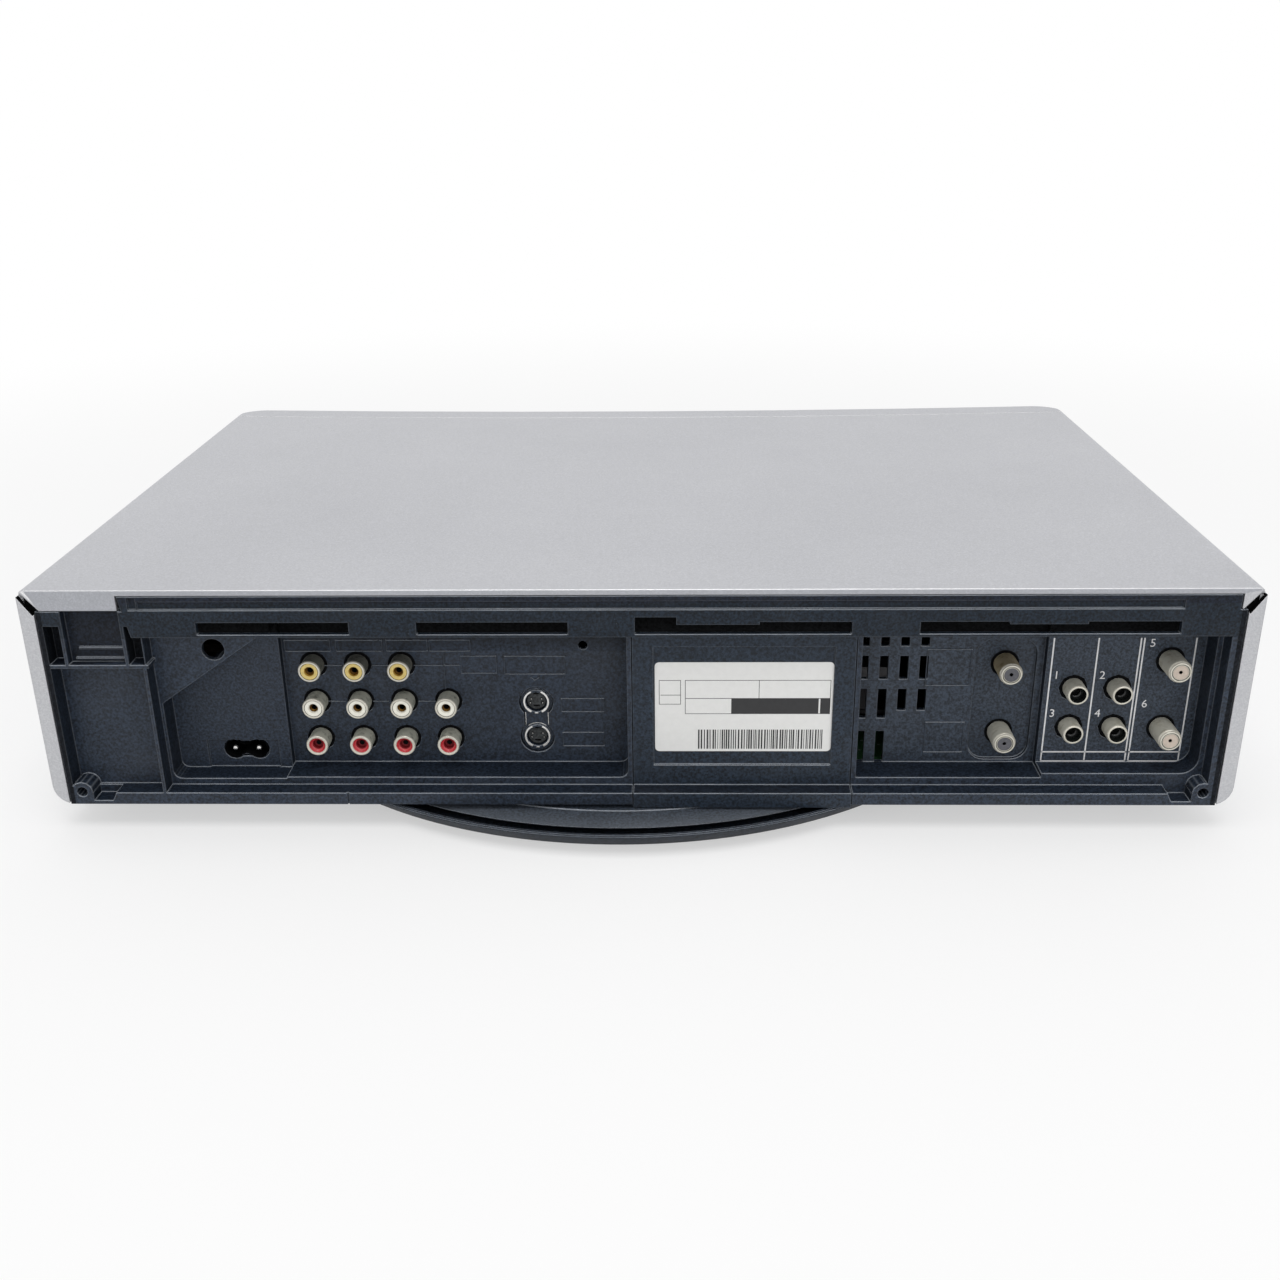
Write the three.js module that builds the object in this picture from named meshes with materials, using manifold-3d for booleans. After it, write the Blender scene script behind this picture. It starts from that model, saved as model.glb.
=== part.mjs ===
// A home video cassette recorder on a round swivel base, seen mostly from its connector side.
// Millimetres, +Z up. The front faces -Y and the connectors face +Y. The origin is on the floor,
// under the middle of the base as seen from the front, with X centred on the body.
import * as THREE from "three";
import { mergeVertices } from "three/addons/utils/BufferGeometryUtils.js";
import Module from "manifold-3d";

// Driving sizes
const bodyWidth = 430;
const bodyHeight = 84;
const bodyDepth = 273;
const baseHeight = 10;
const ringRadius = 164.2;
const swivelToRear = 145;
const swivelOffset = 7;

// Clearances shared by every fit
const seam = 0.5;
const fit = 0.3;
const overrun = 3;
const seat = 1;

// The cassette that the machine takes, which is not part of the model
const cassette = { width: 187, height: 25, play: 1.5 };

const front = {
  sag: 8,
  depth: 13.5,
  wall: 2.4,
  cornerRadius: 14,
  slotDrop: 4,
  slotHeight: 33,
  slotSide: 3.5,
  earWidth: 4,
  earDepth: 5,
  earHeight: 8,
};
const cover = {
  wall: 1.6,
  topRadius: 3,
  bottomRadius: 7.5,
  sideLip: 5.2,
  topLip: 2,
  cornerLip: 7.5,
  mitre: 2,
  curlHeight: 2.2,
};
const flap = { thickness: 2, gap: 0.6, axisDrop: 2, axisIn: 2, pinRadius: 1.2, lug: 3, lugDepth: 3 };
const door = {
  width: 190,
  bottom: 10.7,
  top: 40,
  gap: 0.5,
  thickness: 2,
  axisRise: 1.1,
  axisIn: 1,
  heelGap: 1.9,
  pinRadius: 1.2,
  lug: 3,
  lugDepth: 2.8,
};
const windowPane = { width: 92, height: 24, thickness: 2, sink: 0.4, radius: 3, border: 2 };
const display = { board: 1.6, glassDepth: 5, rim: 6, tabHeight: 4 };
const button = {
  proud: 0.8,
  thickness: 3,
  radius: 2,
  height: 9,
  rowWidth: 14,
  bigWidth: 21,
  stemRadius: 2,
  travel: 1,
  switchDepth: 3,
  switchSize: 6,
};
const frontBoard = { thickness: 1.6, back: 14, margin: 5, low: 18, post: 3 };
const frontJack = { plate: 2, back: 11.5, barrel: 4.15, stick: 5, pitch: 22, wing: 4 };

const rear = {
  edgeGap: 0.5,
  levelOne: 6.6,
  wall: 2,
  rimHeight: 4.7,
  headerHeight: 15.4,
  headerWall: 2.2,
  roofGap: 0.3,
  stepDepth: 1,
  stepDrop: 5.1,
  slotHeight: 4.5,
  slotShort: 3.5,
  slotRaised: 6.3,
  slotRise: 1.1,
  slotLip: 0.5,
  jackDepth: 18.9,
  inletDepth: 15.6,
  marginDepth: 7.6,
  marginRidge: 1.2,
  pocketFloor: 7.8,
  inletFloor: 7.2,
  printFloor: 9.5,
  pocketRadius: 3,
  screwHoleRadius: 4.1,
  pinHoleRadius: 1.75,
  seamGroove: 0.6,
};
const nook = {
  left: 173.5,
  right: 207.5,
  floor: 54.5,
  shelf: 1.4,
  fin: 1.2,
  slot: 5.6,
  face: 3.4,
  bridge: 5.6,
  ridge: 0.9,
  ridgeHeight: 0.9,
  ridgeLow: 2.3,
  ridgeHigh: 6.3,
  ridgeStep: 3.6,
};
const boss = {
  radius: 4,
  hole: 2,
  depth: 16,
  x: 204.4,
  z: 5,
  notch: 9,
  notchSlope: 2,
  notchDepth: 3.2,
};
const hatch = {
  plate: 2.4,
  drop: 1.2,
  recess: 0.8,
  recessSide: 7.5,
  recessLow: 12.9,
  recessTop: 59.8,
  gap: 0.3,
};
const vent = { width: 3.1, pitch: 7.25 };
const aerial = { slotWidth: 22, slotLow: 9, slotTop: 57.5, slotRadius: 6, slotDepth: 1.5 };
const rca = { radius: 4.1, bore: 1.7, boreDepth: 8, tip: 11.6, hole: 5.2, sides: 10 };
const rcaBlock = { width: 12, depth: 9, below: 7, above: 6.5 };
const decoder = { tip: 8.5, radius: 3.8, bore: 2.85 };
const svideo = {
  outer: 6.1,
  ring: 5,
  bore: 4,
  boreDepth: 7,
  waist: 4.35,
  plate: 1.2,
  proud: 0.9,
  block: 9,
};
const inlet = {
  height: 7.8,
  waist: 5.6,
  pitch: 8.9,
  pin: 1.2,
  pinDepth: 9,
  cavity: 11,
  block: 13,
  side: 3,
  sink: 0.8,
};
const fConnector = { radius: 4.2, bore: 1, boreDepth: 6, aerialTip: 9.5, satTip: 4.3 };
const tuner = { width: 24, low: 14, high: 64, depth: 44, lid: 1.2, lidStep: 0.8 };
const satTuner = { width: 22, low: 16, high: 60, depth: 38 };

const tray = {
  floor: 2.2,
  gap: 1.2,
  side: 2,
  sideHeight: 12,
  shelf: 2,
  rear: 9,
  pivotHole: 24,
  post: 3.5,
  postHeight: 1.8,
  ventLength: 34,
  ventWidth: 3,
  ventPitch: 7,
  ventCount: 6,
  ventSide: 12,
  ventRear: 22,
};
const board = {
  thickness: 1.6,
  mainLeft: 8,
  mainFront: 20,
  mainRear: 26,
  edge: 3,
  powerFront: 118,
  powerRear: 26,
};
const transformer = { width: 42, depth: 34, height: 36, core: 14, coreWidth: 30, foot: 3 };

const deck = { width: 222, front: 92, rear: 110, thickness: 1.6, top: 21.6, leg: 4, legInset: 8, skirt: 5 };
const bracket = {
  wall: 1.6,
  foot: 7,
  front: 84,
  rear: 44,
  railDrop: 4,
  railHeight: 2.6,
  railPlay: 0.3,
  topGap: 5,
};
const carriage = {
  wall: 1.2,
  gap: 0.5,
  front: 66,
  length: 46,
  bridge: 1.2,
  bridgeGap: 0.8,
  bridgeLength: 18,
};
const holder = {
  wall: 1.2,
  depth: 76,
  front: 85,
  headroom: 1,
  ledge: 8,
  lift: 17,
  travel: 45,
  pin: 1.6,
  windowSide: 26,
  windowEnd: 14,
  stop: 8,
};
const restHeight = 8.9;
const drum = {
  radius: 31,
  y: 77,
  tilt: 5.6,
  lower: 20,
  upper: 17,
  gap: 0.4,
  pedestal: 22,
  lift: 5,
  rotor: 25,
  rotorHeight: 3.4,
  shaft: 3,
  groove: 0.8,
  shaftGap: 0.5,
};
const reel = {
  spacing: 92,
  y: -24,
  flange: 19,
  flangeZ: 3.4,
  hub: 8,
  spindle: 3.4,
  shaft: 1.4,
  play: 0.3,
  fins: 6,
};
const capstan = {
  x: 62,
  y: 62,
  shaft: 1.5,
  top: 28,
  bearing: 4.2,
  bearingHeight: 8,
  wheel: 22,
  wheelHeight: 5,
};
const pinch = {
  x: 88,
  y: 52,
  length: 22.3,
  angle: 191.8,
  roller: 6,
  rollerHeight: 14,
  pin: 1.5,
  lift: 9,
  arm: 3,
  boss: 4,
};
const guide = {
  startX: 28,
  startY: 24,
  endX: 46,
  endY: 88,
  base: 5,
  baseHeight: 3,
  post: 3,
  postHeight: 27,
  neck: 1.3,
  plate: 1.5,
  flangeHeight: 1.2,
  flange: 3.9,
};
const tension = {
  x: -66,
  y: 8,
  reachX: 22,
  reachY: 22,
  boss: 4,
  arm: 3,
  lift: 4,
  post: 1.8,
  postHeight: 24,
};
const controlHead = { x: 57, y: 77, width: 9, depth: 6, height: 18, lift: 5 };
const eraseHead = { x: -59, y: 60, width: 7, depth: 6, height: 19, lift: 5 };
const motor = { x: -84, y: 101, radius: 8.5, length: 26, shaft: 1.2, shaftLength: 5, cradle: 3 };
const camGear = {
  x: -84,
  y: 62,
  radius: 14,
  tooth: 1.6,
  teeth: 20,
  height: 4,
  lift: 2,
  hub: 4,
  hubHeight: 3,
  shaft: 1.5,
};

const ring = {
  lip: 1.4,
  lipDrop: 1.7,
  flare: 0.6,
  footInset: 5.5,
  bottom: 1,
  floor: 2,
  track: 120,
  trackWidth: 4,
  trackHeight: 1.4,
  hub: 8.6,
  stopRadius: 64,
  stopPin: 3.5,
  stopHeight: 3,
};
const disc = {
  gap: 5.4,
  edgeDrop: 2.4,
  shoulder: 128,
  shoulderDrop: 1.6,
  stepInset: 10.8,
  stepDrop: 0.4,
  skirtWall: 2,
  skirtDrop: 4.6,
  plate: 3,
  ribWidth: 4,
  ribAngle: 97.5,
};
const retainer = { radius: 14, thickness: 1.4, head: 5, headHeight: 1.2 };
const footRing = { inset: 15.7, width: 9 };

// Places along the width, as shares of half the body's width, and heights, as shares of its height
const widthShares = {
  marginRidge: 0.811,
  pocketLeft: 0.8,
  slopeTop: 0.612,
  jackLeft: 0.6047,
  hatchLeft: 0.007,
  hatchRight: 0.3623,
  ventLeft: 0.372,
  printLeft: 0.686,
  printRight: 0.947,
  levelRight: 0.956,
  screwHole: 0.702,
  pinHole: 0.0916,
  svideo: 0.1751,
  inlet: 0.6833,
  inletRecess: 0.688,
  aerial: 0.6228,
  satellite: 0.8914,
  ventFirst: 0.3842,
  seamNotch: 0.494,
  headerLeft: 0.8367,
  headerLower: 0.8228,
  headerRight: 0.9619,
};
const jackColumnShares = [0.5532, 0.4777, 0.4021, 0.326];
const decoderColumnShares = [0.7353, 0.8093];
const jackRowShares = [0.5714, 0.3953, 0.2155];
const decoderRowShares = [0.4738, 0.2869];
const aerialRowShares = [0.5645, 0.2365];
const satelliteRowShares = [0.6022, 0.2826];
const slopeLowShare = 0.45;
const slopeHighShare = 0.784;
const screwHoleShare = 0.7036;
const pinHoleShare = 0.6595;
const inletShare = 0.174;
const svideoShares = [0.3861, 0.2171];
const slotSpanShares = [
  [0.4651, 0.714],
  [0.1093, 0.3549],
  [-0.3484, 0.0009],
  [-0.873, -0.4577],
];
const slotRaisedShares = [-0.066, 0.0009];
const slotLoweredShares = [
  [-0.2, -0.066],
  [-0.725, -0.6],
];
const ventRowShares = [
  { low: 0.6536, high: 0.695, columns: 4, longColumns: 0 },
  { low: 0.4976, high: 0.607, columns: 4, longColumns: 0 },
  { low: 0.3476, high: 0.45, columns: 4, longColumns: 2 },
  { low: 0.093, high: 0.2452, columns: 2, longColumns: 0 },
];
const ventLongShare = 0.3095;
const windowShares = { x: -0.7, z: 0.76 };
const bigButtonShares = [
  { name: "eject_button", x: 0.57, z: 0.78 },
  { name: "power_button", x: 0.88, z: 0.78 },
];
const rowButtonShares = [
  { name: "rewind_button", x: 0.535 },
  { name: "play_button", x: 0.63 },
  { name: "fast_forward_button", x: 0.725 },
  { name: "stop_button", x: 0.82 },
  { name: "record_button", x: 0.915 },
];
const rowButtonShare = 0.5;
const boardPartShares = [
  { x: 0.1, y: 0.2, width: 0.16, depth: 0.14, height: 0.55 },
  { x: 0.14, y: 0.72, width: 0.1, depth: 0.12, height: 0.7 },
  { x: 0.45, y: 0.12, width: 0.12, depth: 0.1, height: 0.3 },
  { x: 0.5, y: 0.42, width: 0.14, depth: 0.12, height: 0.25 },
  { x: 0.3, y: 0.62, width: 0.08, depth: 0.2, height: 0.4 },
  { x: 0.85, y: 0.1, width: 0.18, depth: 0.06, height: 0.5 },
];
const capacitorShares = [
  { x: 0.2, y: 0.24, radius: 0.1, height: 0.42 },
  { x: 0.2, y: 0.48, radius: 0.08, height: 0.34 },
  { x: 0.78, y: 0.18, radius: 0.06, height: 0.25 },
];
const heatSinkShares = { x: 0.5, y: 0.14, width: 0.3, depth: 0.035, height: 0.48, fins: 5 };

// What follows from the sizes above
const half = bodyWidth / 2;
const frontMiddle = front.sag - bodyDepth;
const slotTop = bodyHeight - front.slotDrop;
const slotBottom = slotTop - front.slotHeight;
const innerHalf = half - cover.wall;
const holderInner = (cassette.width + cassette.play) / 2;
const holderOuter = holderInner + holder.wall;
const carriageInner = holderOuter + carriage.gap;
const carriageOuter = carriageInner + carriage.wall;
const bracketInner = carriageOuter + carriage.gap + holder.wall;
const bracketOuter = bracketInner + bracket.wall;
const deckTop = deck.top;
const deckUnder = deckTop - deck.thickness;
const loadedFloor = deckTop + restHeight;
const raisedFloor = loadedFloor + holder.lift;
const raisedTop = raisedFloor + cassette.height + holder.headroom;
const boardZ = tray.floor + tray.postHeight;
const boardTop = boardZ + board.thickness;
const partSpace = deckUnder - boardTop;
const headerTop = bodyHeight - cover.topLip - rear.roofGap;
const headerBottom = headerTop - rear.headerHeight;
const pocketCeiling = headerTop - rear.wall;
const housingHalf = half - cover.sideLip - rear.edgeGap;
const discRadius = ringRadius - ring.lip - disc.gap;
const glideHeight = ring.bottom + ring.floor + ring.trackHeight + fit;
const slotWidth = cassette.width + 2 * front.slotSide;

const wasm = await Module();
wasm.setup();

// Solids from three.js geometry

function solid(geometry) {
  const bare = geometry.clone();
  bare.deleteAttribute("normal");
  bare.deleteAttribute("uv");
  const merged = mergeVertices(bare);
  const corners = [];
  const index = merged.index.array;
  for (let i = 0; i < index.length; i += 3) {
    const [a, b, c] = [index[i], index[i + 1], index[i + 2]];
    if (a !== b && b !== c && c !== a) corners.push(a, b, c);
  }
  const make = (list) =>
    new wasm.Manifold(
      new wasm.Mesh({
        numProp: 3,
        vertProperties: merged.attributes.position.array,
        triVerts: new Uint32Array(list),
      }),
    );
  const made = make(corners);
  return made.volume() < 0 ? make(corners.reverse()) : made;
}

function join(first, ...others) {
  return others.reduce((sum, next) => sum.add(next), first);
}

function cut(first, ...others) {
  return others.reduce((rest, next) => rest.subtract(next), first);
}

function common(first, ...others) {
  return others.reduce((shared, next) => shared.intersect(next), first);
}

function box(x0, x1, y0, y1, z0, z1) {
  const geometry = new THREE.BoxGeometry(Math.abs(x1 - x0), Math.abs(y1 - y0), Math.abs(z1 - z0));
  geometry.translate((x0 + x1) / 2, (y0 + y1) / 2, (z0 + z1) / 2);
  return solid(geometry);
}

function zRod(radius, x, y, z0, z1, sides = 20) {
  const geometry = new THREE.CylinderGeometry(radius, radius, z1 - z0, sides);
  geometry.rotateX(Math.PI / 2);
  geometry.translate(x, y, (z0 + z1) / 2);
  return solid(geometry);
}

function yRod(radius, x, z, y0, y1, sides = 20) {
  const geometry = new THREE.CylinderGeometry(radius, radius, y1 - y0, sides);
  geometry.translate(x, (y0 + y1) / 2, z);
  return solid(geometry);
}

function xRod(radius, y, z, x0, x1, sides = 8) {
  const geometry = new THREE.CylinderGeometry(radius, radius, x1 - x0, sides);
  geometry.rotateZ(Math.PI / 2);
  geometry.translate((x0 + x1) / 2, y, z);
  return solid(geometry);
}

// A pin that stands out sideways, to the left for -1 and to the right for 1.
function sidePin(side, inner, outer, y, z, radius) {
  const ends = [side * inner, side * outer].sort((a, b) => a - b);
  return xRod(radius, y, z, ...ends);
}

// A solid of revolution about Z from [radius, height] points, open at the axis or closed on itself.
function turned(profile, x = 0, y = 0, sides = 32) {
  const points = profile.map(([radius, height]) => new THREE.Vector2(radius, height));
  const geometry = new THREE.LatheGeometry(points, sides);
  geometry.rotateX(Math.PI / 2);
  geometry.translate(x, y, 0);
  return solid(geometry);
}

// A flat outline in X and Y raised along Z.
function zPrism(shape, z0, z1, steps = 6) {
  const geometry = new THREE.ExtrudeGeometry(shape, {
    depth: z1 - z0,
    bevelEnabled: false,
    curveSegments: steps,
  });
  geometry.translate(0, 0, z0);
  return solid(geometry);
}

// A flat outline in X and Z drawn along Y.
function yPrism(shape, y0, y1, steps = 6) {
  const geometry = new THREE.ExtrudeGeometry(shape, {
    depth: y1 - y0,
    bevelEnabled: false,
    curveSegments: steps,
  });
  geometry.rotateX(Math.PI / 2);
  geometry.translate(0, y1, 0);
  return solid(geometry);
}

function polygon(points) {
  return new THREE.Shape(points.map(([u, v]) => new THREE.Vector2(u, v)));
}

// A rectangle with a radius for each corner: low left, low right, high right, high left.
function rounded(u0, u1, v0, v1, radii) {
  const [a, b, c, d] = radii;
  const shape = new THREE.Shape();
  shape.moveTo(u0 + a, v0);
  shape.lineTo(u1 - b, v0);
  if (b > 0) shape.absarc(u1 - b, v0 + b, b, -Math.PI / 2, 0);
  shape.lineTo(u1, v1 - c);
  if (c > 0) shape.absarc(u1 - c, v1 - c, c, 0, Math.PI / 2);
  shape.lineTo(u0 + d, v1);
  if (d > 0) shape.absarc(u0 + d, v1 - d, d, Math.PI / 2, Math.PI);
  shape.lineTo(u0, v0 + a);
  if (a > 0) shape.absarc(u0 + a, v0 + a, a, Math.PI, 1.5 * Math.PI);
  return shape;
}

function evenly(u0, u1, v0, v1, radius) {
  return rounded(u0, u1, v0, v1, [radius, radius, radius, radius]);
}

// The body's curved front, which is drawn in at the middle

const arcSteps = 6;

function frontY(x) {
  return frontMiddle - front.sag * (x / half) ** 2;
}

function arcPoints(x0, x1, inset) {
  const points = [];
  for (let i = 0; i <= arcSteps; i += 1) {
    const x = x0 + ((x1 - x0) * i) / arcSteps;
    points.push([x, frontY(x) + inset]);
  }
  return points;
}

// Everything behind the front curve moved back by an inset.
function behindFront(inset) {
  const wide = half + overrun;
  const outline = [...arcPoints(-wide, wide, inset), [wide, overrun], [-wide, overrun]];
  return zPrism(polygon(outline), -overrun, bodyHeight + overrun);
}

// The slice between two insets from the front curve, over a span of the width and the height.
function frontSlice(near, far, x0, x1, z0, z1) {
  const outline = [...arcPoints(x0, x1, near), ...arcPoints(x1, x0, far)];
  return zPrism(polygon(outline), z0, z1);
}

// The body's plan with rounded front corners, drawn in by an inset.
function planShape(inset) {
  const corner = front.cornerRadius;
  const centreX = half - corner;
  const centreY = frontY(centreX) + corner;
  const radius = corner - inset;
  const shape = new THREE.Shape();
  shape.moveTo(-half + inset, 0);
  shape.lineTo(-half + inset, centreY);
  shape.absarc(-centreX, centreY, radius, Math.PI, 1.5 * Math.PI);
  arcPoints(-centreX, centreX, inset)
    .slice(1)
    .forEach(([x, y]) => shape.lineTo(x, y));
  shape.absarc(centreX, centreY, radius, 1.5 * Math.PI, 2 * Math.PI);
  shape.lineTo(half - inset, 0);
  return shape;
}

// The body's cross-section, drawn in by an inset.
function sectionShape(inset) {
  const low = cover.bottomRadius - inset;
  const high = Math.max(cover.topRadius - inset, cover.topRadius / 6);
  return rounded(-half + inset, half - inset, inset, bodyHeight - inset, [low, low, high, high]);
}

function bodyEnvelope(inset, steps) {
  return common(
    zPrism(planShape(inset), -overrun, bodyHeight + overrun, steps + 1),
    yPrism(sectionShape(inset), -bodyDepth - overrun, overrun, steps),
  );
}

// Covers and front

function topCover() {
  const shell = cut(
    yPrism(sectionShape(0), -bodyDepth, 0, 3),
    yPrism(sectionShape(cover.wall), -bodyDepth - overrun, -cover.wall, 3),
  );
  const lipInner = half - cover.sideLip;
  const lipLow = bodyHeight - cover.cornerLip;
  const lipHigh = bodyHeight - cover.topLip;
  const railRight = widthShares.headerLeft * half + seam;
  const railLeft = -widthShares.headerRight * half - seam;
  const rearOpening = polygon([
    [-lipInner, -overrun],
    [lipInner, -overrun],
    [lipInner, lipLow],
    [railRight, lipLow],
    [railRight, lipHigh],
    [railLeft, lipHigh],
    [railLeft, lipLow],
    [-lipInner, lipLow],
  ]);
  const belly = half - cover.bottomRadius;
  const mitres = [1, -1].map((side) => {
    const points = [
      [side * (lipInner - cover.mitre / 2), lipLow - cover.mitre / 4],
      [side * (lipInner + cover.mitre / 4), lipLow - cover.mitre],
      [side * (half + cover.mitre / 2), bodyHeight - cover.topRadius - cover.mitre / 4],
      [side * (half - cover.mitre / 2), bodyHeight - cover.topRadius + cover.mitre * 1.5],
    ];
    return yPrism(polygon(side > 0 ? points : points.reverse()), -cover.wall - seam, overrun);
  });
  return common(
    cut(
      shell,
      yPrism(rearOpening, -cover.wall - seam, overrun),
      box(-belly, belly, -bodyDepth - overrun, overrun, -overrun, cover.curlHeight),
      ...mitres,
    ),
    behindFront(front.depth + seam),
  );
}

// The ears behind the front panel that carry the flap's and the door's pins, and their bores.
function ears(width, axisY, axisZ) {
  return [-1, 1].map((side) => {
    const block = box(
      side * (width / 2),
      side * (width / 2 + front.earWidth),
      axisY - front.earDepth / 2,
      axisY + front.earDepth / 2,
      axisZ - front.earHeight / 2,
      axisZ + front.earHeight / 2,
    );
    return common(block, behindFront(seam));
  });
}

function earBore(width, axisY, axisZ, pinRadius) {
  const reach = width / 2 + front.earWidth - fit;
  return xRod(pinRadius + fit, axisY, axisZ, -reach, reach);
}

const flapWidth = slotWidth - 2 * flap.gap;
const flapTop = slotTop - fit;
const flapBottom = slotBottom + fit;
const flapAxisY = frontMiddle + flap.axisIn;
const flapAxisZ = flapTop - flap.axisDrop;
const doorWidth = door.width - 2 * door.gap;
const doorAxisY = frontMiddle + door.axisIn;
const doorAxisZ = door.bottom + door.axisRise;

function buttonHole(x, z, width) {
  const shape = evenly(
    x - width / 2 - fit,
    x + width / 2 + fit,
    z - button.height / 2 - fit,
    z + button.height / 2 + fit,
    button.radius + fit,
  );
  return yPrism(shape, -bodyDepth - overrun, frontMiddle + front.depth, 2);
}

const buttonPlaces = [
  ...bigButtonShares.map((one) => ({
    name: one.name,
    x: one.x * half,
    z: one.z * bodyHeight,
    width: button.bigWidth,
  })),
  ...rowButtonShares.map((one) => ({
    name: one.name,
    x: one.x * half,
    z: rowButtonShare * bodyHeight,
    width: button.rowWidth,
  })),
];

function windowShape(grow) {
  const x = windowShares.x * half;
  const z = windowShares.z * bodyHeight;
  const wide = windowPane.width / 2 + grow;
  const tall = windowPane.height / 2 + grow;
  return evenly(x - wide, x + wide, z - tall, z + tall, windowPane.radius + grow);
}

function frontPanel() {
  const shell = cut(bodyEnvelope(0, 3), bodyEnvelope(front.wall, 1), behindFront(front.depth));
  const slotHalf = slotWidth / 2;
  const doorHalf = door.width / 2;
  const deep = frontMiddle + front.depth;
  const slot = box(-slotHalf, slotHalf, -bodyDepth - overrun, deep, slotBottom, slotTop);
  const doorway = box(
    -doorHalf,
    doorHalf,
    -bodyDepth - overrun,
    deep,
    door.bottom - door.heelGap,
    door.top + door.gap,
  );
  const pane = yPrism(windowShape(0), -bodyDepth - overrun, deep, 3);
  const posts = [bigButtonShares[0].x, bigButtonShares[1].x].map((share) =>
    yRod(
      frontBoard.post,
      share * half,
      frontBoard.low,
      frontY(share * half) + front.wall - seam,
      frontMiddle + frontBoard.back - seam,
      10,
    ),
  );
  const whole = join(
    cut(shell, slot, doorway, pane, ...buttonPlaces.map((one) => buttonHole(one.x, one.z, one.width))),
    ...ears(slotWidth, flapAxisY, flapAxisZ),
    ...ears(door.width, doorAxisY, doorAxisZ),
    ...posts,
  );
  return cut(
    whole,
    earBore(slotWidth, flapAxisY, flapAxisZ, flap.pinRadius),
    earBore(door.width, doorAxisY, doorAxisZ, door.pinRadius),
  );
}

function hingedPlate(width, low, high, thickness, axisY, axisZ, pinRadius, lug, lugDepth) {
  const side = width / 2;
  const plate = frontSlice(0, thickness, -side, side, low, high);
  const lugs = [-1, 1].map((end) => {
    const block = box(
      end * side,
      end * (side - lug),
      frontY(side) + thickness / 2,
      axisY + lugDepth / 2,
      axisZ - lugDepth / 2,
      Math.min(axisZ + lugDepth / 2, high),
    );
    const pinEnd = side + fit + front.earWidth - seat;
    return join(block, sidePin(end, side - lug, pinEnd, axisY, axisZ, pinRadius));
  });
  return join(plate, ...lugs);
}

function cassetteFlap() {
  return hingedPlate(
    flapWidth,
    flapBottom,
    flapTop,
    flap.thickness,
    flapAxisY,
    flapAxisZ,
    flap.pinRadius,
    flap.lug,
    flap.lugDepth,
  );
}

function frontDoor() {
  return hingedPlate(
    doorWidth,
    door.bottom,
    door.top,
    door.thickness,
    doorAxisY,
    doorAxisZ,
    door.pinRadius,
    door.lug,
    door.lugDepth,
  );
}

function displayWindow() {
  const body = yPrism(windowShape(-fit), -bodyDepth - overrun, frontMiddle + front.depth, 2);
  const pane = common(body, frontSlice(windowPane.sink, front.wall + fit, -half, half, 0, bodyHeight));
  const rimShape = windowShape(windowPane.border);
  const rim = common(
    yPrism(rimShape, -bodyDepth - overrun, frontMiddle + front.depth, 3),
    frontSlice(front.wall + fit, front.wall + fit + windowPane.thickness, -half, half, 0, bodyHeight),
  );
  return join(pane, rim);
}

function displayModule() {
  const x = windowShares.x * half;
  const z = windowShares.z * bodyHeight;
  const wide = windowPane.width / 2 - display.rim / 2;
  const tall = windowPane.height / 2;
  const back = frontMiddle + frontBoard.back;
  const glass = box(
    x - wide + display.rim,
    x + wide - display.rim,
    back - display.glassDepth,
    back,
    z - tall + display.rim / 2,
    z + tall - display.rim / 2,
  );
  const card = box(x - wide, x + wide, back, back + display.board, z - tall, z + tall);
  const legLow = tray.floor + fit;
  const tabs = [-1, 1].map((side) =>
    box(
      x + side * (wide - display.tabHeight / 2) - display.tabHeight / 2,
      x + side * (wide - display.tabHeight / 2) + display.tabHeight / 2,
      back,
      back + display.board,
      legLow,
      z,
    ),
  );
  return join(glass, card, ...tabs);
}

function pushButton(x, z, width) {
  const capShape = evenly(
    x - width / 2,
    x + width / 2,
    z - button.height / 2,
    z + button.height / 2,
    button.radius,
  );
  const cap = common(
    yPrism(capShape, -bodyDepth - overrun, frontMiddle + front.depth, 3),
    frontSlice(-button.proud, button.thickness, -half, half, 0, bodyHeight),
  );
  const stemBack = frontMiddle + frontBoard.back - button.switchDepth - button.travel - fit;
  const stem = yRod(button.stemRadius, x, z, frontY(x), stemBack, 10);
  return join(cap, stem);
}

function frontBoardCard() {
  const left = slotWidth / 2 + front.earWidth + fit + seam;
  const right = half - front.cornerRadius;
  const low = frontBoard.low - frontBoard.post - seat;
  const high = bodyHeight - front.wall - frontBoard.margin;
  const near = frontMiddle + frontBoard.back;
  const card = box(left, right, near, near + frontBoard.thickness, low, high);
  const switches = buttonPlaces.map((one) =>
    box(
      one.x - button.switchSize / 2,
      one.x + button.switchSize / 2,
      near - button.switchDepth,
      near,
      one.z - button.switchSize / 2,
      one.z + button.switchSize / 2,
    ),
  );
  return join(card, ...switches);
}

function frontJackBlock() {
  const side = doorWidth / 2 - frontJack.wing;
  const near = frontMiddle + frontJack.back - frontJack.plate;
  const far = frontMiddle + frontJack.back;
  const low = front.wall + fit;
  const plate = box(-side, side, near, far, low, door.top);
  const middle = (door.bottom + door.top) / 2;
  const barrels = [-1, 0, 1].map((step) =>
    yRod(frontJack.barrel, step * frontJack.pitch, middle, near - frontJack.stick, near + seat, 10),
  );
  const bores = [-1, 0, 1].map((step) =>
    yRod(rca.bore, step * frontJack.pitch, middle, near - frontJack.stick - seat, near + seat, 6),
  );
  return cut(join(plate, ...barrels), ...bores);
}

// Rear housing: one thin moulding whose wall follows recesses of several depths

function recess(x0, x1, z0, z1, depth) {
  return box(x0, x1, -depth, overrun, z0, z1);
}

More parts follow.
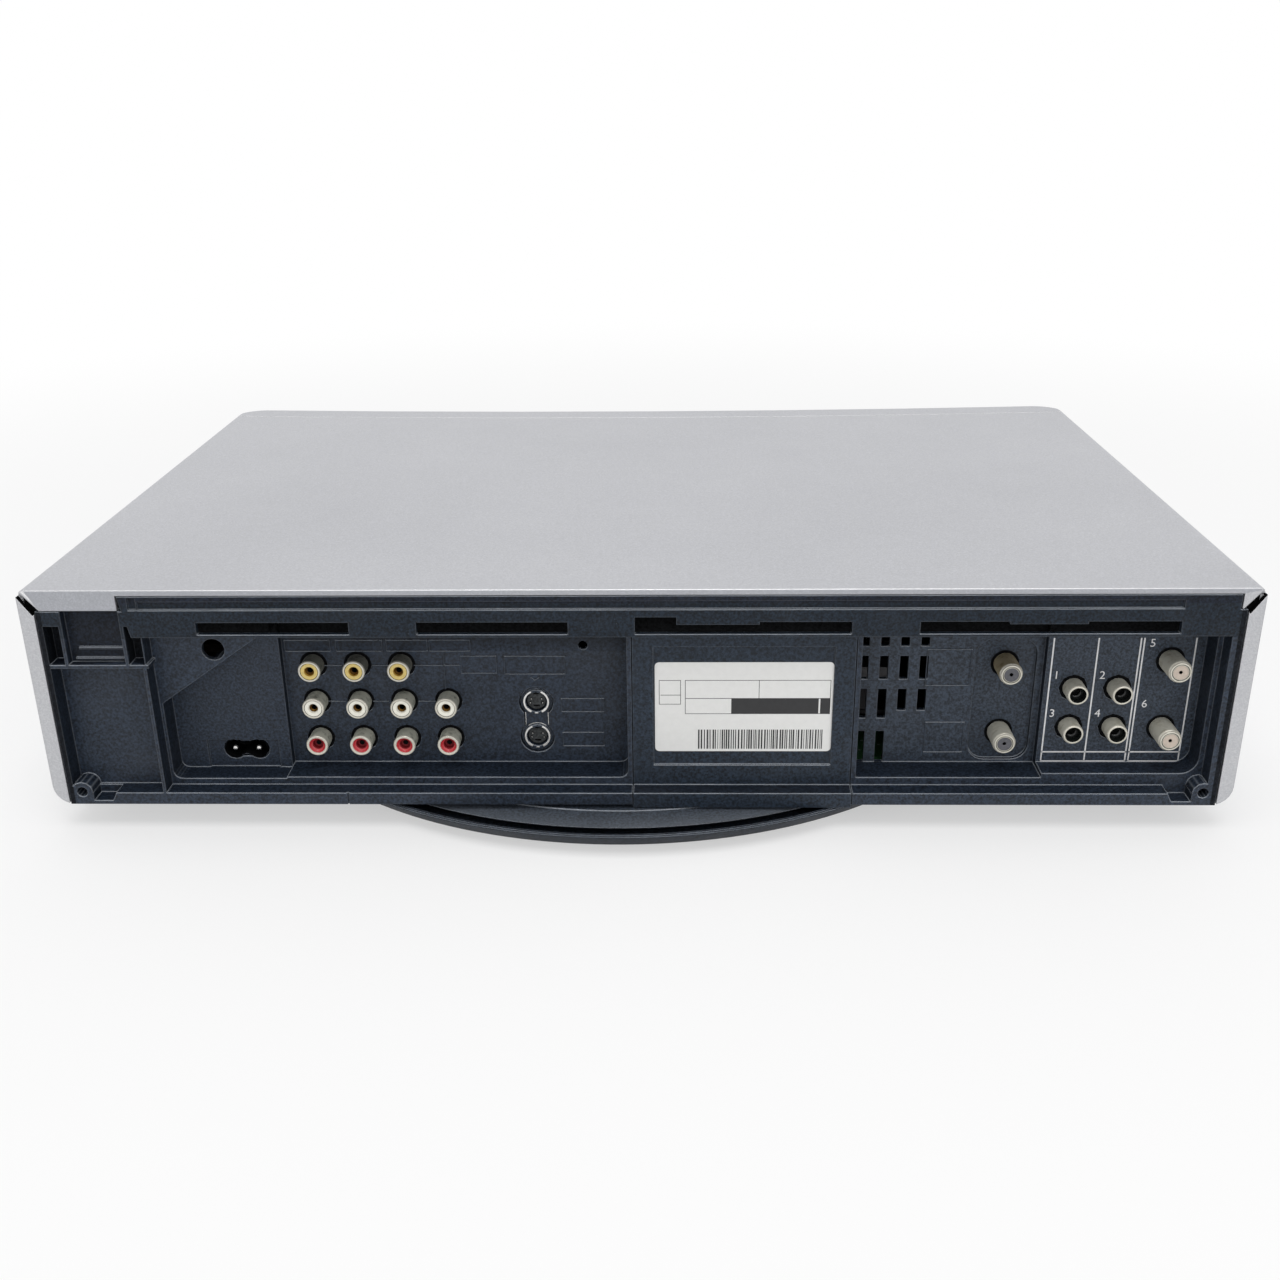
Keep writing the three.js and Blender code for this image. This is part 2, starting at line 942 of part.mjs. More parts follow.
// The block that a pocket up to the ceiling is sunk into, one wall larger than the pocket.
function walled(x0, x1, floor, depth) {
  const wall = rear.wall;
  return box(x0 - wall, x1 + wall, -depth - wall, 0, floor - wall, pocketCeiling + wall);
}

function share(name) {
  return widthShares[name] * half;
}

// The mains pocket's outline, whose upper left corner is cut off by a slope.
function inletOutline(grow) {
  const radius = rear.pocketRadius + grow;
  const left = share("pocketLeft") + grow;
  const low = rear.inletFloor - grow;
  const shape = new THREE.Shape();
  shape.moveTo(share("jackLeft") - grow, low);
  shape.lineTo(left - radius, low);
  shape.absarc(left - radius, low + radius, radius, -Math.PI / 2, 0);
  shape.lineTo(left, slopeLowShare * bodyHeight + grow / 2);
  shape.lineTo(share("slopeTop") + grow, slopeHighShare * bodyHeight + grow / 2);
  shape.lineTo(share("jackLeft") - grow, slopeHighShare * bodyHeight + grow / 2);
  return shape;
}

function rearBlanks() {
  const back = -rear.levelOne - rear.wall;
  const jackEnd = share("hatchLeft") + rear.wall;
  const jackWall = walled(jackEnd, share("jackLeft"), rear.pocketFloor, rear.jackDepth);
  const inletWall = yPrism(inletOutline(rear.wall), -rear.inletDepth - rear.wall, 0, 2);
  const ventWall = walled(-share("printLeft"), -share("ventLeft"), rear.pocketFloor, rear.jackDepth);
  const printWall = walled(-share("printRight"), -share("printLeft"), rear.printFloor, rear.inletDepth);
  const slab = box(-housingHalf, housingHalf, back, 0, 0, bodyHeight - cover.cornerLip - fit);
  const crown = box(-share("headerRight"), share("headerLeft"), back, 0, 0, headerTop);
  const aerialX = -share("aerial");
  const aerialWall = box(
    aerialX - aerial.slotWidth / 2 - rear.wall,
    aerialX + aerial.slotWidth / 2 + rear.wall,
    -rear.jackDepth - aerial.slotDepth - rear.wall,
    -rear.jackDepth,
    aerial.slotLow - rear.wall,
    aerial.slotTop + rear.wall,
  );
  const belly = half - cover.bottomRadius - fit;
  const curlTop = cover.curlHeight + fit;
  const curls = [-1, 1].map((side) =>
    box(side * belly, side * half, -bodyDepth, -cover.wall - fit, -overrun, curlTop),
  );
  return cut(join(slab, crown, jackWall, inletWall, ventWall, printWall, aerialWall), ...curls);
}

function rearRecesses() {
  const rim = rear.rimHeight;
  const ridge = share("marginRidge");
  const ridgeEdge = ridge - rear.marginRidge;
  const levelOne = recess(-share("levelRight"), ridgeEdge, rim, pocketCeiling, rear.levelOne);
  const margin = recess(ridge, nook.right, rim, nook.floor, rear.marginDepth);
  const corner = recess(nook.left, nook.right, nook.floor + nook.shelf, headerTop, rear.levelOne);
  const jackRight = share("hatchLeft") + rear.wall;
  const jackCorners = [rear.pocketRadius, 0, 0, 0];
  const jack = yPrism(
    rounded(jackRight, share("jackLeft"), rear.pocketFloor, pocketCeiling, jackCorners),
    -rear.jackDepth,
    overrun,
    2,
  );
  const mains = yPrism(inletOutline(0), -rear.inletDepth, overrun, 2);
  const ventRight = -share("printLeft");
  const vents = recess(ventRight, -share("ventLeft"), rear.pocketFloor, pocketCeiling, rear.jackDepth);
  const printedCorners = [2 * rear.pocketRadius, 0, 0, 0];
  const printed = yPrism(
    rounded(-share("printRight"), ventRight + seam, rear.printFloor, pocketCeiling, printedCorners),
    -rear.inletDepth,
    overrun,
  );
  const hatchBay = box(
    -share("hatchRight") - hatch.gap,
    share("hatchLeft") + hatch.gap,
    -rear.levelOne - hatch.plate - hatch.gap,
    overrun,
    -overrun,
    pocketCeiling,
  );
  const aerialX = -share("aerial");
  const aerialSlot = yPrism(
    evenly(
      aerialX - aerial.slotWidth / 2,
      aerialX + aerial.slotWidth / 2,
      aerial.slotLow,
      aerial.slotTop,
      aerial.slotRadius,
    ),
    -rear.jackDepth - aerial.slotDepth,
    -rear.jackDepth + seat,
    3,
  );
  return [levelOne, margin, corner, jack, mains, vents, printed, hatchBay, aerialSlot];
}

// The strip across the top, with four slots that hooks of a cable cover would enter.
function headerRail() {
  const top = headerTop;
  const plate = yPrism(
    polygon([
      [-share("headerRight"), headerBottom],
      [share("headerLower"), headerBottom],
      [share("headerLeft"), top],
      [-share("headerRight"), top],
    ]),
    -rear.headerWall,
    0,
  );
  const slotLow = headerBottom + rear.slotRise;
  const slot = ([from, to], height) =>
    box(from * half, to * half, -rear.headerWall - overrun, overrun, slotLow, slotLow + height);
  const slots = slotSpanShares.map((span) => slot(span, rear.slotShort));
  const lowered = slotLoweredShares.map((span) => slot(span, rear.slotRaised));
  const tallSlots = slotSpanShares.map((span) => cut(slot(span, rear.slotHeight), ...lowered));
  const raised = slot(slotRaisedShares, rear.slotRaised);
  const step = box(
    Math.min(...slotSpanShares.flat()) * half,
    share("headerLower") - rear.slotLip,
    -rear.stepDepth,
    overrun,
    top - rear.stepDrop,
    top - rear.slotLip,
  );
  return cut(plate, ...slots, ...tallSlots, raised, step);
}

// The cable guide in the corner: a shelf, two upright fins and a ribbed face between them.
function cableNook() {
  const floor = nook.floor;
  const top = bodyHeight - cover.cornerLip - fit;
  const shelfTop = floor + nook.shelf;
  const shelf = box(nook.left - nook.fin, nook.right + seat, -rear.levelOne - seat, 0, floor, shelfTop);
  const finLeft = nook.left + nook.slot;
  const finRight = nook.right - nook.slot;
  const fins = [finLeft, finRight - nook.fin].map((x) =>
    box(x, x + nook.fin, -rear.levelOne - seat, 0, floor, top),
  );
  const face = box(finLeft, finRight, -rear.levelOne - seat, -nook.face, floor, top);
  const ridges = [nook.ridgeLow, nook.ridgeHigh].map((rise, row) =>
    box(
      finLeft,
      finRight - nook.fin - (row + 1) * nook.ridgeStep / 2,
      -nook.face - seat,
      -nook.face + nook.ridge,
      floor + rise,
      floor + rise + nook.ridgeHeight,
    ),
  );
  const bridges = [nook.left, finRight - nook.fin].map((x) =>
    box(x, x + nook.slot + nook.fin, -nook.fin, 0, top - nook.bridge, top),
  );
  return join(shelf, ...fins, ...bridges, face, ...ridges);
}

function cornerBosses() {
  return [-1, 1].map((side) => yRod(boss.radius, side * boss.x, boss.z, -boss.depth, 0, 12));
}

// The last column has no jack in the top row.
function jackRows(column) {
  return column < jackColumnShares.length - 1 ? jackRowShares : jackRowShares.slice(1);
}

function rearHoles() {
  const through = -rear.jackDepth - aerial.slotDepth - rear.wall - overrun;
  const jackHole = (columnShare, rowShare, depth) =>
    yRod(rca.hole, columnShare * half, rowShare * bodyHeight, through, -depth + seat, 8);
  const jackHoles = jackColumnShares.flatMap((columnShare, column) =>
    jackRows(column).map((rowShare) => jackHole(columnShare, rowShare, rear.jackDepth)),
  );
  const decoderHoles = decoderColumnShares.flatMap((columnShare) =>
    decoderRowShares.map((rowShare) => jackHole(-columnShare, rowShare, rear.inletDepth)),
  );
  const fHoles = [
    ...aerialRowShares.map((rowShare) => [share("aerial"), rowShare]),
    ...satelliteRowShares.map((rowShare) => [share("satellite"), rowShare]),
  ].map(([x, rowShare]) =>
    yRod(fConnector.radius + 2 * fit, -x, rowShare * bodyHeight, through, -rear.inletDepth + seat, 8),
  );
  const ventSlots = ventRowShares.flatMap((row) =>
    Array.from({ length: row.columns }, (_, column) => {
      const x = -share("ventFirst") - column * vent.pitch;
      const low = (column < row.longColumns ? ventLongShare : row.low) * bodyHeight;
      const side = vent.width / 2;
      return box(x - side, x + side, through, -rear.jackDepth + seat, low, row.high * bodyHeight);
    }),
  );
  const inletRecess = box(
    share("inletRecess") - inlet.pitch * 1.5,
    share("inletRecess") + inlet.pitch * 1.5,
    -rear.inletDepth - inlet.sink,
    -rear.inletDepth + seat,
    rear.inletFloor,
    inletShare * bodyHeight + inlet.height / 2,
  );
  const bossHoles = [-1, 1].map((side) =>
    yRod(boss.hole, side * boss.x, boss.z, -boss.depth + rear.wall, overrun, 10),
  );
  const notches = [-1, 1].map((side) => {
    const near = side * (boss.x - boss.radius);
    const far = side * (boss.x - boss.radius - boss.notch);
    const outline = [
      [near, rear.rimHeight - boss.notchDepth],
      [near, rear.rimHeight + seat],
      [far, rear.rimHeight + seat],
      [far + side * boss.notchSlope, rear.rimHeight - boss.notchDepth],
    ];
    return yPrism(polygon(side < 0 ? outline : outline.reverse()), -rear.levelOne, overrun);
  });
  const groove = box(
    share("seamNotch") - rear.seamGroove / 2,
    share("seamNotch") + rear.seamGroove / 2,
    -rear.seamGroove,
    overrun,
    -overrun,
    rear.rimHeight + seat,
  );
  return [
    ...jackHoles,
    ...decoderHoles,
    ...fHoles,
    ...ventSlots,
    svideoShape(fit, through, -rear.jackDepth + seat),
    inletRecess,
    inletHollow(fit, through, -rear.inletDepth + seat),
    yRod(rear.screwHoleRadius, share("screwHole"), screwHoleShare * bodyHeight, through, overrun, 16),
    yRod(rear.pinHoleRadius, share("pinHole"), pinHoleShare * bodyHeight, through, overrun, 10),
    ...bossHoles,
    ...notches,
    groove,
  ];
}

function rearHousing() {
  const moulded = cut(rearBlanks(), ...rearRecesses());
  const backing = box(
    -share("hatchRight") - rear.wall,
    share("hatchLeft") + rear.wall,
    -rear.levelOne - hatch.plate - hatch.gap - rear.wall,
    -rear.levelOne - hatch.plate - hatch.gap,
    tray.floor + fit,
    headerTop,
  );
  return cut(join(moulded, backing, headerRail(), cableNook(), ...cornerBosses()), ...rearHoles());
}

// The separate plate at the middle of the rear, with a shallow recess for the rating label.
function centrePlate() {
  const left = -share("hatchRight");
  const right = share("hatchLeft");
  const back = -rear.levelOne - hatch.plate;
  const plate = box(left, right, back, -rear.levelOne, -hatch.drop, headerBottom);
  const rim = box(left, right, back, 0, -hatch.drop, rear.rimHeight);
  const sink = box(
    left + hatch.recessSide,
    right - hatch.recessSide,
    -rear.levelOne - hatch.recess,
    overrun,
    hatch.recessLow,
    hatch.recessTop,
  );
  const tongue = box(left, right, back, -rear.levelOne, headerBottom, pocketCeiling - fit);
  return cut(join(plate, rim, tongue), sink);
}

// Connectors

function jackColumn(x, rows, radius, bore, tip, panelDepth) {
  const face = panelDepth + rear.wall + fit;
  const heights = rows.map((rowShare) => rowShare * bodyHeight);
  const low = Math.min(...heights) - rcaBlock.below;
  const high = Math.max(...heights) + rcaBlock.above;
  const side = rcaBlock.width / 2;
  const block = box(x - side, x + side, -face - rcaBlock.depth, -face, low, high);
  const barrels = heights.map((z) => yRod(radius, x, z, -face - seat, -tip, rca.sides));
  const bores = heights.map((z) => yRod(bore, x, z, -tip - rca.boreDepth, overrun, 6));
  return cut(join(block, ...barrels), ...bores);
}

// Two round ends, one above the other, and a narrower waist between them.
function svideoShape(grow, y0, y1) {
  const x = share("svideo");
  const [high, low] = svideoShares.map((rowShare) => rowShare * bodyHeight);
  const waist = svideo.waist + grow;
  return join(
    yRod(svideo.outer + grow, x, high, y0, y1, 16),
    yRod(svideo.outer + grow, x, low, y0, y1, 16),
    box(x - waist, x + waist, y0, y1, low, high),
  );
}

function svideoBlock() {
  const x = share("svideo");
  const heights = svideoShares.map((rowShare) => rowShare * bodyHeight);
  const [high, low] = heights;
  const across = svideo.outer + seat;
  const wallBack = -rear.jackDepth - rear.wall - fit;
  const face = -rear.jackDepth - svideo.plate;
  const back = wallBack - svideo.block;
  const body = box(x - across, x + across, back, wallBack, low - across, high + across);
  const nose = svideoShape(0, wallBack - seat, face);
  const rings = heights.map((z) => yRod(svideo.ring, x, z, face - seat, face + svideo.proud, 12));
  const bores = heights.map((z) => yRod(svideo.bore, x, z, face - svideo.boreDepth, overrun, 12));
  return cut(join(body, nose, ...rings), ...bores);
}

// Two round ends and a waist between them, as on a two-pin mains inlet.
function inletHollow(grow, y0, y1) {
  const x = share("inlet");
  const z = inletShare * bodyHeight;
  const centre = inlet.pitch / 2;
  const waist = inlet.waist / 2 + grow;
  return join(
    yRod(inlet.height / 2 + grow, x - centre, z, y0, y1, 12),
    yRod(inlet.height / 2 + grow, x + centre, z, y0, y1, 12),
    box(x - centre, x + centre, y0, y1, z - waist, z + waist),
  );
}

function mainsInlet() {
  const x = share("inlet");
  const z = inletShare * bodyHeight;
  const face = -rear.inletDepth - rear.wall - fit;
  const wide = inlet.pitch / 2 + inlet.height / 2 + inlet.side;
  const tall = inlet.height / 2 + inlet.side - seat;
  const block = box(x - wide, x + wide, face - inlet.block, face, z - tall, z + tall);
  const back = face - inlet.cavity;
  const hollow = inletHollow(0, back, overrun);
  const pins = [-1, 1].map((side) =>
    yRod(inlet.pin, x + (side * inlet.pitch) / 2, z, back - seat, back + inlet.pinDepth, 10),
  );
  return join(cut(block, hollow), ...pins);
}

function fSocket(x, z, tip, back) {
  const barrel = yRod(fConnector.radius, x, z, back, -tip, 12);
  const hole = yRod(fConnector.bore, x, z, -tip - fConnector.boreDepth, overrun, 6);
  return cut(barrel, hole);
}

const aerialFace = -rear.jackDepth - aerial.slotDepth;
const tunerFace = aerialFace - rear.wall - fit;
const satelliteFace = -rear.inletDepth - rear.wall - fit;

function tunerCan(x, width, low, high, depth, face) {
  const can = box(x - width / 2, x + width / 2, face - depth, face, low, high);
  const lid = box(
    x - width / 2 - tuner.lidStep,
    x + width / 2 + tuner.lidStep,
    face - depth - tuner.lidStep,
    face - tuner.lid,
    high - tuner.lid * 2,
    high,
  );
  const legY = face - depth / 2;
  const leg = box(x - tuner.lid, x + tuner.lid, legY - tuner.lid, legY + tuner.lid, boardTop, low);
  return join(can, lid, leg);
}

// Chassis and boards

function onTray(y) {
  return y - swivelToRear;
}

function legPlaces() {
  const x = deck.width / 2 - deck.legInset;
  return [
    [-x, onTray(deck.legInset - deck.front)],
    [x, onTray(deck.legInset - deck.front)],
    [-x, onTray(deck.rear - deck.legInset)],
    [x, onTray(deck.rear - deck.legInset)],
  ];
}

const mainBoardSpan = {
  left: -half + cover.sideLip + board.mainLeft,
  right: deck.width / 2 - deck.legInset + deck.leg + board.edge,
  near: frontMiddle + front.depth + board.mainFront,
  far: -board.mainRear,
};
const powerBoardSpan = {
  left: mainBoardSpan.right + board.edge,
  right: half - cover.sideLip - board.mainLeft,
  near: -board.powerRear - board.powerFront,
  far: -board.powerRear,
};

function postPlaces(span) {
  const inset = tray.post + board.edge;
  return [
    [span.left + inset, span.near + inset],
    [span.right - inset, span.near + inset],
    [span.left + inset, span.far - inset],
    [span.right - inset, span.far - inset],
  ];
}

function chassisTray() {
  const floorHalf = half - cover.bottomRadius - tray.gap;
  const floor = box(-floorHalf, floorHalf, -bodyDepth, -tray.rear, 0, tray.floor);
  const sides = [-1, 1].map((side) =>
    join(
      box(
        side * floorHalf,
        side * (floorHalf - tray.side),
        -bodyDepth,
        -rear.inletDepth - 2 * rear.wall,
        0,
        tray.sideHeight,
      ),
      box(
        side * (floorHalf - tray.side),
        side * (innerHalf - fit),
        -bodyDepth,
        -rear.inletDepth - 2 * rear.wall,
        tray.sideHeight - tray.shelf,
        tray.sideHeight,
      ),
    ),
  );
  const posts = [...postPlaces(mainBoardSpan), ...postPlaces(powerBoardSpan)].map(([x, y]) =>
    zRod(tray.post, x, y, tray.floor - seat, boardZ, 6),
  );
  const legs = legPlaces().map(([x, y]) => zRod(deck.leg, x, y, tray.floor - seat, deckUnder, 8));
  const pivot = zRod(tray.pivotHole, swivelOffset, -swivelToRear, -overrun, tray.floor + overrun, 16);
  const vents = [-1, 1].flatMap((side) =>
    Array.from({ length: tray.ventCount }, (_, i) => {
      const inner = side * (floorHalf - tray.ventSide);
      const outer = side * (floorHalf - tray.ventSide - tray.ventLength);
      const y = -tray.ventRear - i * tray.ventPitch;
      return box(inner, outer, y - tray.ventWidth, y, -overrun, tray.floor + overrun);
    }),
  );
  const clear = [-1, 1].map((side) =>
    yRod(boss.radius + fit, side * boss.x, boss.z, -boss.depth - overrun, overrun, 8),
  );
  return common(
    cut(join(floor, ...sides, ...posts, ...legs), pivot, ...vents, ...clear),
    behindFront(front.depth + seam),
  );
}

function mainBoard() {
  const { left, right, near, far } = mainBoardSpan;
  const width = right - left;
  const depth = far - near;
  const card = box(left, right, near, far, boardZ, boardTop);
  const parts = boardPartShares.map((one) => {
    const x = left + one.x * width;
    const y = near + one.y * depth;
    return box(
      x,
      x + (one.width * width) / 2,
      y,
      y + one.depth * depth,
      boardTop - seat,
      boardTop + one.height * (partSpace - guide.plate - capstan.wheelHeight),
    );
  });
  const holes = legPlaces().map(([x, y]) => zRod(deck.leg + seam, x, y, -overrun, deckUnder, 8));
  return cut(join(card, ...parts), ...holes);
}

function powerBoard() {
  const { left, right, near, far } = powerBoardSpan;
  const width = right - left;
  const depth = far - near;
  const card = box(left, right, near, far, boardZ, boardTop);
  const cans = capacitorShares.map((one) =>
    zRod(
      one.radius * width,
      left + one.x * width,
      near + one.y * depth,
      boardTop - seat,
      boardTop + one.height * (bodyHeight - boardTop),
      12,
    ),
  );
  const sink = heatSinkShares;
  const sinkTop = boardTop + sink.height * (bodyHeight - boardTop);
  const sinkLeft = left + sink.x * width;
  const plate = box(
    sinkLeft,
    sinkLeft + sink.width * width,
    near + (sink.y - sink.depth) * depth,
    near + (sink.y + sink.depth / 4) * depth,
    boardTop - seat,
    sinkTop,
  );
  const fins = Array.from({ length: sink.fins }, (_, i) => {
    const x = sinkLeft + ((i + 1 / 4) / sink.fins) * sink.width * width;
    return box(
      x,
      x + (sink.width * width) / sink.fins / 2,
      near + (sink.y - 2 * sink.depth) * depth,
      near + sink.y * depth,
      boardTop - seat,
      sinkTop,
    );
  });
  return join(card, ...cans, plate, ...fins);
}

function powerTransformer() {
  const x = (powerBoardSpan.left + powerBoardSpan.right) / 2 + transformer.core / 2;
  const y = powerBoardSpan.far - transformer.depth;
  const z = boardTop;
  const core = box(
    x - transformer.width / 2,
    x + transformer.width / 2,
    y - transformer.core / 2,
    y + transformer.core / 2,
    z,
    z + transformer.height,
  );
  const winding = box(
    x - transformer.coreWidth / 2,
    x + transformer.coreWidth / 2,
    y - transformer.depth / 2,
    y + transformer.depth / 2,
    z + transformer.foot,
    z + transformer.height - transformer.foot,
  );
  return join(core, winding);
}

// Cassette mechanism, in a frame whose Y runs from the swivel's middle

function guideSlot(side) {
  const run = Math.hypot(guide.endX - guide.startX, guide.endY - guide.startY);
  const lean = Math.atan2(guide.endX - guide.startX, guide.endY - guide.startY);
  const wide = guide.neck + fit;
  const geometry = new THREE.ExtrudeGeometry(evenly(-wide, wide, -wide - fit, run + wide + fit, wide), {
    depth: deck.thickness + 2 * overrun,
    bevelEnabled: false,
    curveSegments: 3,
  });
  geometry.rotateZ(-side * lean);
  geometry.translate(side * guide.startX, guide.startY, deckUnder - overrun);
  return solid(geometry);
}

function mechanismDeck() {
  const wide = deck.width / 2;
  const plate = box(-wide, wide, -deck.front, deck.rear, deckUnder, deckTop);
  const skirt = box(-wide, wide, -deck.front, -deck.front + deck.thickness, deckUnder - deck.skirt, deckTop);
  const reelX = reel.spacing / 2;
  const shafts = [-reelX, reelX].flatMap((x) => [
    zRod(reel.shaft, x, reel.y, deckUnder, loadedFloor + reel.hub - deck.thickness - fit, 8),
    zRod(reel.hub / 2, x, reel.y, deckTop - seat, deckTop + fit, 8),
  ]);
  const bearingTop = deckTop + capstan.bearingHeight;
  const bearing = zRod(capstan.bearing, capstan.x, capstan.y, deckTop - seat, bearingTop, 10);
  const pivots = [
    zRod(pinch.pin, pinch.x, pinch.y, deckUnder, deckTop + pinch.lift + pinch.arm - fit, 8),
    zRod(pinch.boss, pinch.x, pinch.y, deckUnder, deckTop + pinch.lift - fit, 8),
    zRod(pinch.pin, tension.x, tension.y, deckUnder, deckTop + tension.lift + tension.arm - fit, 8),
    zRod(tension.boss, tension.x, tension.y, deckUnder, deckTop + tension.lift - fit, 8),
    zRod(camGear.shaft, camGear.x, camGear.y, deckUnder, deckTop + camGear.lift + camGear.height, 8),
    zRod(camGear.hub, camGear.x, camGear.y, deckUnder, deckTop + camGear.lift - fit, 8),
  ];
  const shaftHole = zRod(capstan.shaft + fit, capstan.x, capstan.y, 0, bodyHeight, 8);
  return cut(join(plate, skirt, ...shafts, bearing, ...pivots), shaftHole, guideSlot(1), guideSlot(-1));
}

const railZ = raisedTop - bracket.railDrop;

function holderBracket(side) {
  const top = raisedTop + bracket.topGap;
  const plate = box(side * bracketInner, side * bracketOuter, -bracket.front, bracket.rear, deckTop, top);
  const foot = box(
    side * bracketInner,
    side * (bracketInner + bracket.foot),
    -bracket.front,
    bracket.rear,
    deckTop,
    deckTop + bracket.wall,
  );
  const rail = box(
    side * (bracketInner - overrun),
    side * (bracketOuter + overrun),
    -carriage.front - bracket.railPlay,
    -carriage.front + carriage.length + holder.travel + bracket.railPlay,
    railZ - bracket.railPlay,
    railZ + bracket.railHeight + bracket.railPlay,
  );
  return cut(join(plate, foot), rail);
}

function holderCarriage() {
  const front0 = -carriage.front;
  const back = front0 + carriage.length;
  const top = raisedTop + holder.wall + carriage.bridgeGap + carriage.bridge;
  const pinZ = (raisedFloor + raisedTop) / 2;
  const pinY = (front0 + back) / 2;
  const low = pinZ - holder.lift - holder.pin - holder.ledge / 2;
  const sides = [-1, 1].map((side) => {
    const wall = box(side * carriageInner, side * carriageOuter, front0, back, low, top);
    const rib = box(
      side * (carriageOuter - seat),
      side * (bracketOuter - fit),
      front0,
      back,
      railZ,
      railZ + bracket.railHeight,
    );
    const slot = box(
      side * (carriageInner - overrun),
      side * (carriageOuter + overrun),
      pinY - holder.pin - fit,
      pinY + holder.pin + fit,
      pinZ - holder.lift - holder.pin - fit,
      pinZ + holder.pin + fit,
    );
    return join(cut(wall, slot), rib);
  });
  const bridge = box(
    -carriageOuter,
    carriageOuter,
    pinY - carriage.bridgeLength / 2,
    pinY + carriage.bridgeLength / 2,
    top - carriage.bridge,
    top,
  );
  return join(bridge, ...sides);
}

function cassetteHolder() {
  const near = -holder.front;
  const far = near + holder.depth;
  const floor = raisedFloor;
  const top = raisedTop;
  const pinZ = (floor + top) / 2;
  const pinY = -carriage.front + carriage.length / 2;
  const roof = box(-holderOuter, holderOuter, near, far, top, top + holder.wall);
  const middle = (near + far) / 2;
  const windows = [-1, 1].map((side) =>
    box(
      side * holder.windowEnd,
      side * (holderInner - holder.windowSide),
      near + holder.windowEnd,
      middle - holder.wall,
      top - overrun,
      top + overrun,
    ),
  );
  const sides = [-1, 1].map((side) => {
    const low = floor - holder.wall;
    const wall = box(side * holderInner, side * holderOuter, near, far, low, top + holder.wall);
    const ledge = box(side * (holderInner - holder.ledge), side * holderOuter, near, far, low, floor);
    const stop = box(
      side * (holderInner - holder.stop),
      side * holderInner,
      far - holder.wall,
      far,
      floor,
      floor + holder.stop,
    );
    const pin = sidePin(side, holderOuter - seat, carriageOuter + fit, pinY, pinZ, holder.pin);
    return join(wall, ledge, stop, pin);
  });
  return join(cut(roof, ...windows), ...sides);
}

// The drum's own frame has its origin on the spin axis where the two halves meet.
const drumMeetZ = deckTop + drum.lift + drum.lower;

function lowerDrum() {
  const top = -drum.gap / 2;
  const bottom = top - drum.lower;
  const well = drum.shaft + drum.shaftGap;
  const cup = turned(
    [
      [well, top],
      [drum.radius - drum.groove, top],
      [drum.radius, top - drum.groove],
      [drum.radius, bottom],
      [0, bottom],
      [0, top - drum.lower / 2],
      [well, top - drum.lower / 2],
      [well, top],
    ],
    0,
    0,
    24,
  )
    .rotate([drum.tilt, 0, 0])
    .translate([0, drum.y, drumMeetZ]);
  const pedestal = zRod(drum.pedestal, 0, drum.y, deckTop, drumMeetZ - drum.lower / 2 - drum.shaft, 24);
  return join(cup, pedestal);
}

function upperDrum() {
  const bottom = drum.gap / 2;
  const top = bottom + drum.upper;
  const shaftEnd = -drum.lower / 2 + drum.gap;
  return turned(
    [
      [0, shaftEnd],
      [drum.shaft, shaftEnd],
      [drum.shaft, bottom],
      [drum.radius - drum.groove, bottom],
      [drum.radius, bottom + drum.groove],
      [drum.radius, top - drum.groove],
      [drum.radius - drum.groove, top],
      [drum.rotor, top],
      [drum.rotor, top + drum.rotorHeight],
      [drum.shaft, top + drum.rotorHeight],
      [0, top + drum.rotorHeight],
    ],
    0,
    0,
    24,
  );
}

// Reel table about its own axis, with fins that drive a cassette's hub.
function reelTable() {
  const low = deckTop + 2 * fit;
  const top = loadedFloor + reel.hub;
  const bore = reel.shaft + reel.play;
  const plate = low + reel.flangeZ;
  const body = turned(
    [
      [bore, low],
      [reel.hub, low],
      [reel.hub, plate - reel.flangeZ / 2],
      [reel.flange, plate - reel.flangeZ / 2],
      [reel.flange, plate],
      [reel.hub, plate],
      [reel.hub, loadedFloor - seat],
      [reel.spindle, loadedFloor - seat],
      [reel.spindle, top - seat],
      [reel.spindle / 2, top],
      [0, top],
      [0, top - deck.thickness],
      [bore, top - deck.thickness],
      [bore, low],
    ],
    0,
    0,
    12,
  );
  const fins = Array.from({ length: reel.fins / 2 }, (_, i) => {
    const geometry = new THREE.BoxGeometry(reel.hub + reel.spindle, seat, reel.hub - 2 * seat);
    geometry.rotateZ((i * 2 * Math.PI) / reel.fins);
    geometry.translate(0, 0, loadedFloor + reel.hub / 2 - seat);
    return cut(solid(geometry), zRod(reel.shaft + 2 * reel.play, 0, 0, 0, bodyHeight, 8));
  });
  return join(body, ...fins);
}

function capstanFlywheel() {
  const wheelTop = deckUnder - 2 * fit - guide.plate;
  const wheelLow = wheelTop - capstan.wheelHeight;
  return turned(
    [
      [0, wheelLow],
      [capstan.wheel, wheelLow],
      [capstan.wheel, wheelTop],
      [capstan.bearing, wheelTop],
      [capstan.bearing, deckUnder - fit],
      [capstan.shaft, deckUnder - fit],
      [capstan.shaft, deckTop + capstan.top],
      [0, deckTop + capstan.top],
    ],
    0,
    0,
    16,
  );
}

const pinchAngle = THREE.MathUtils.degToRad(pinch.angle);
const pinchTip = [pinch.length * Math.cos(pinchAngle), pinch.length * Math.sin(pinchAngle)];

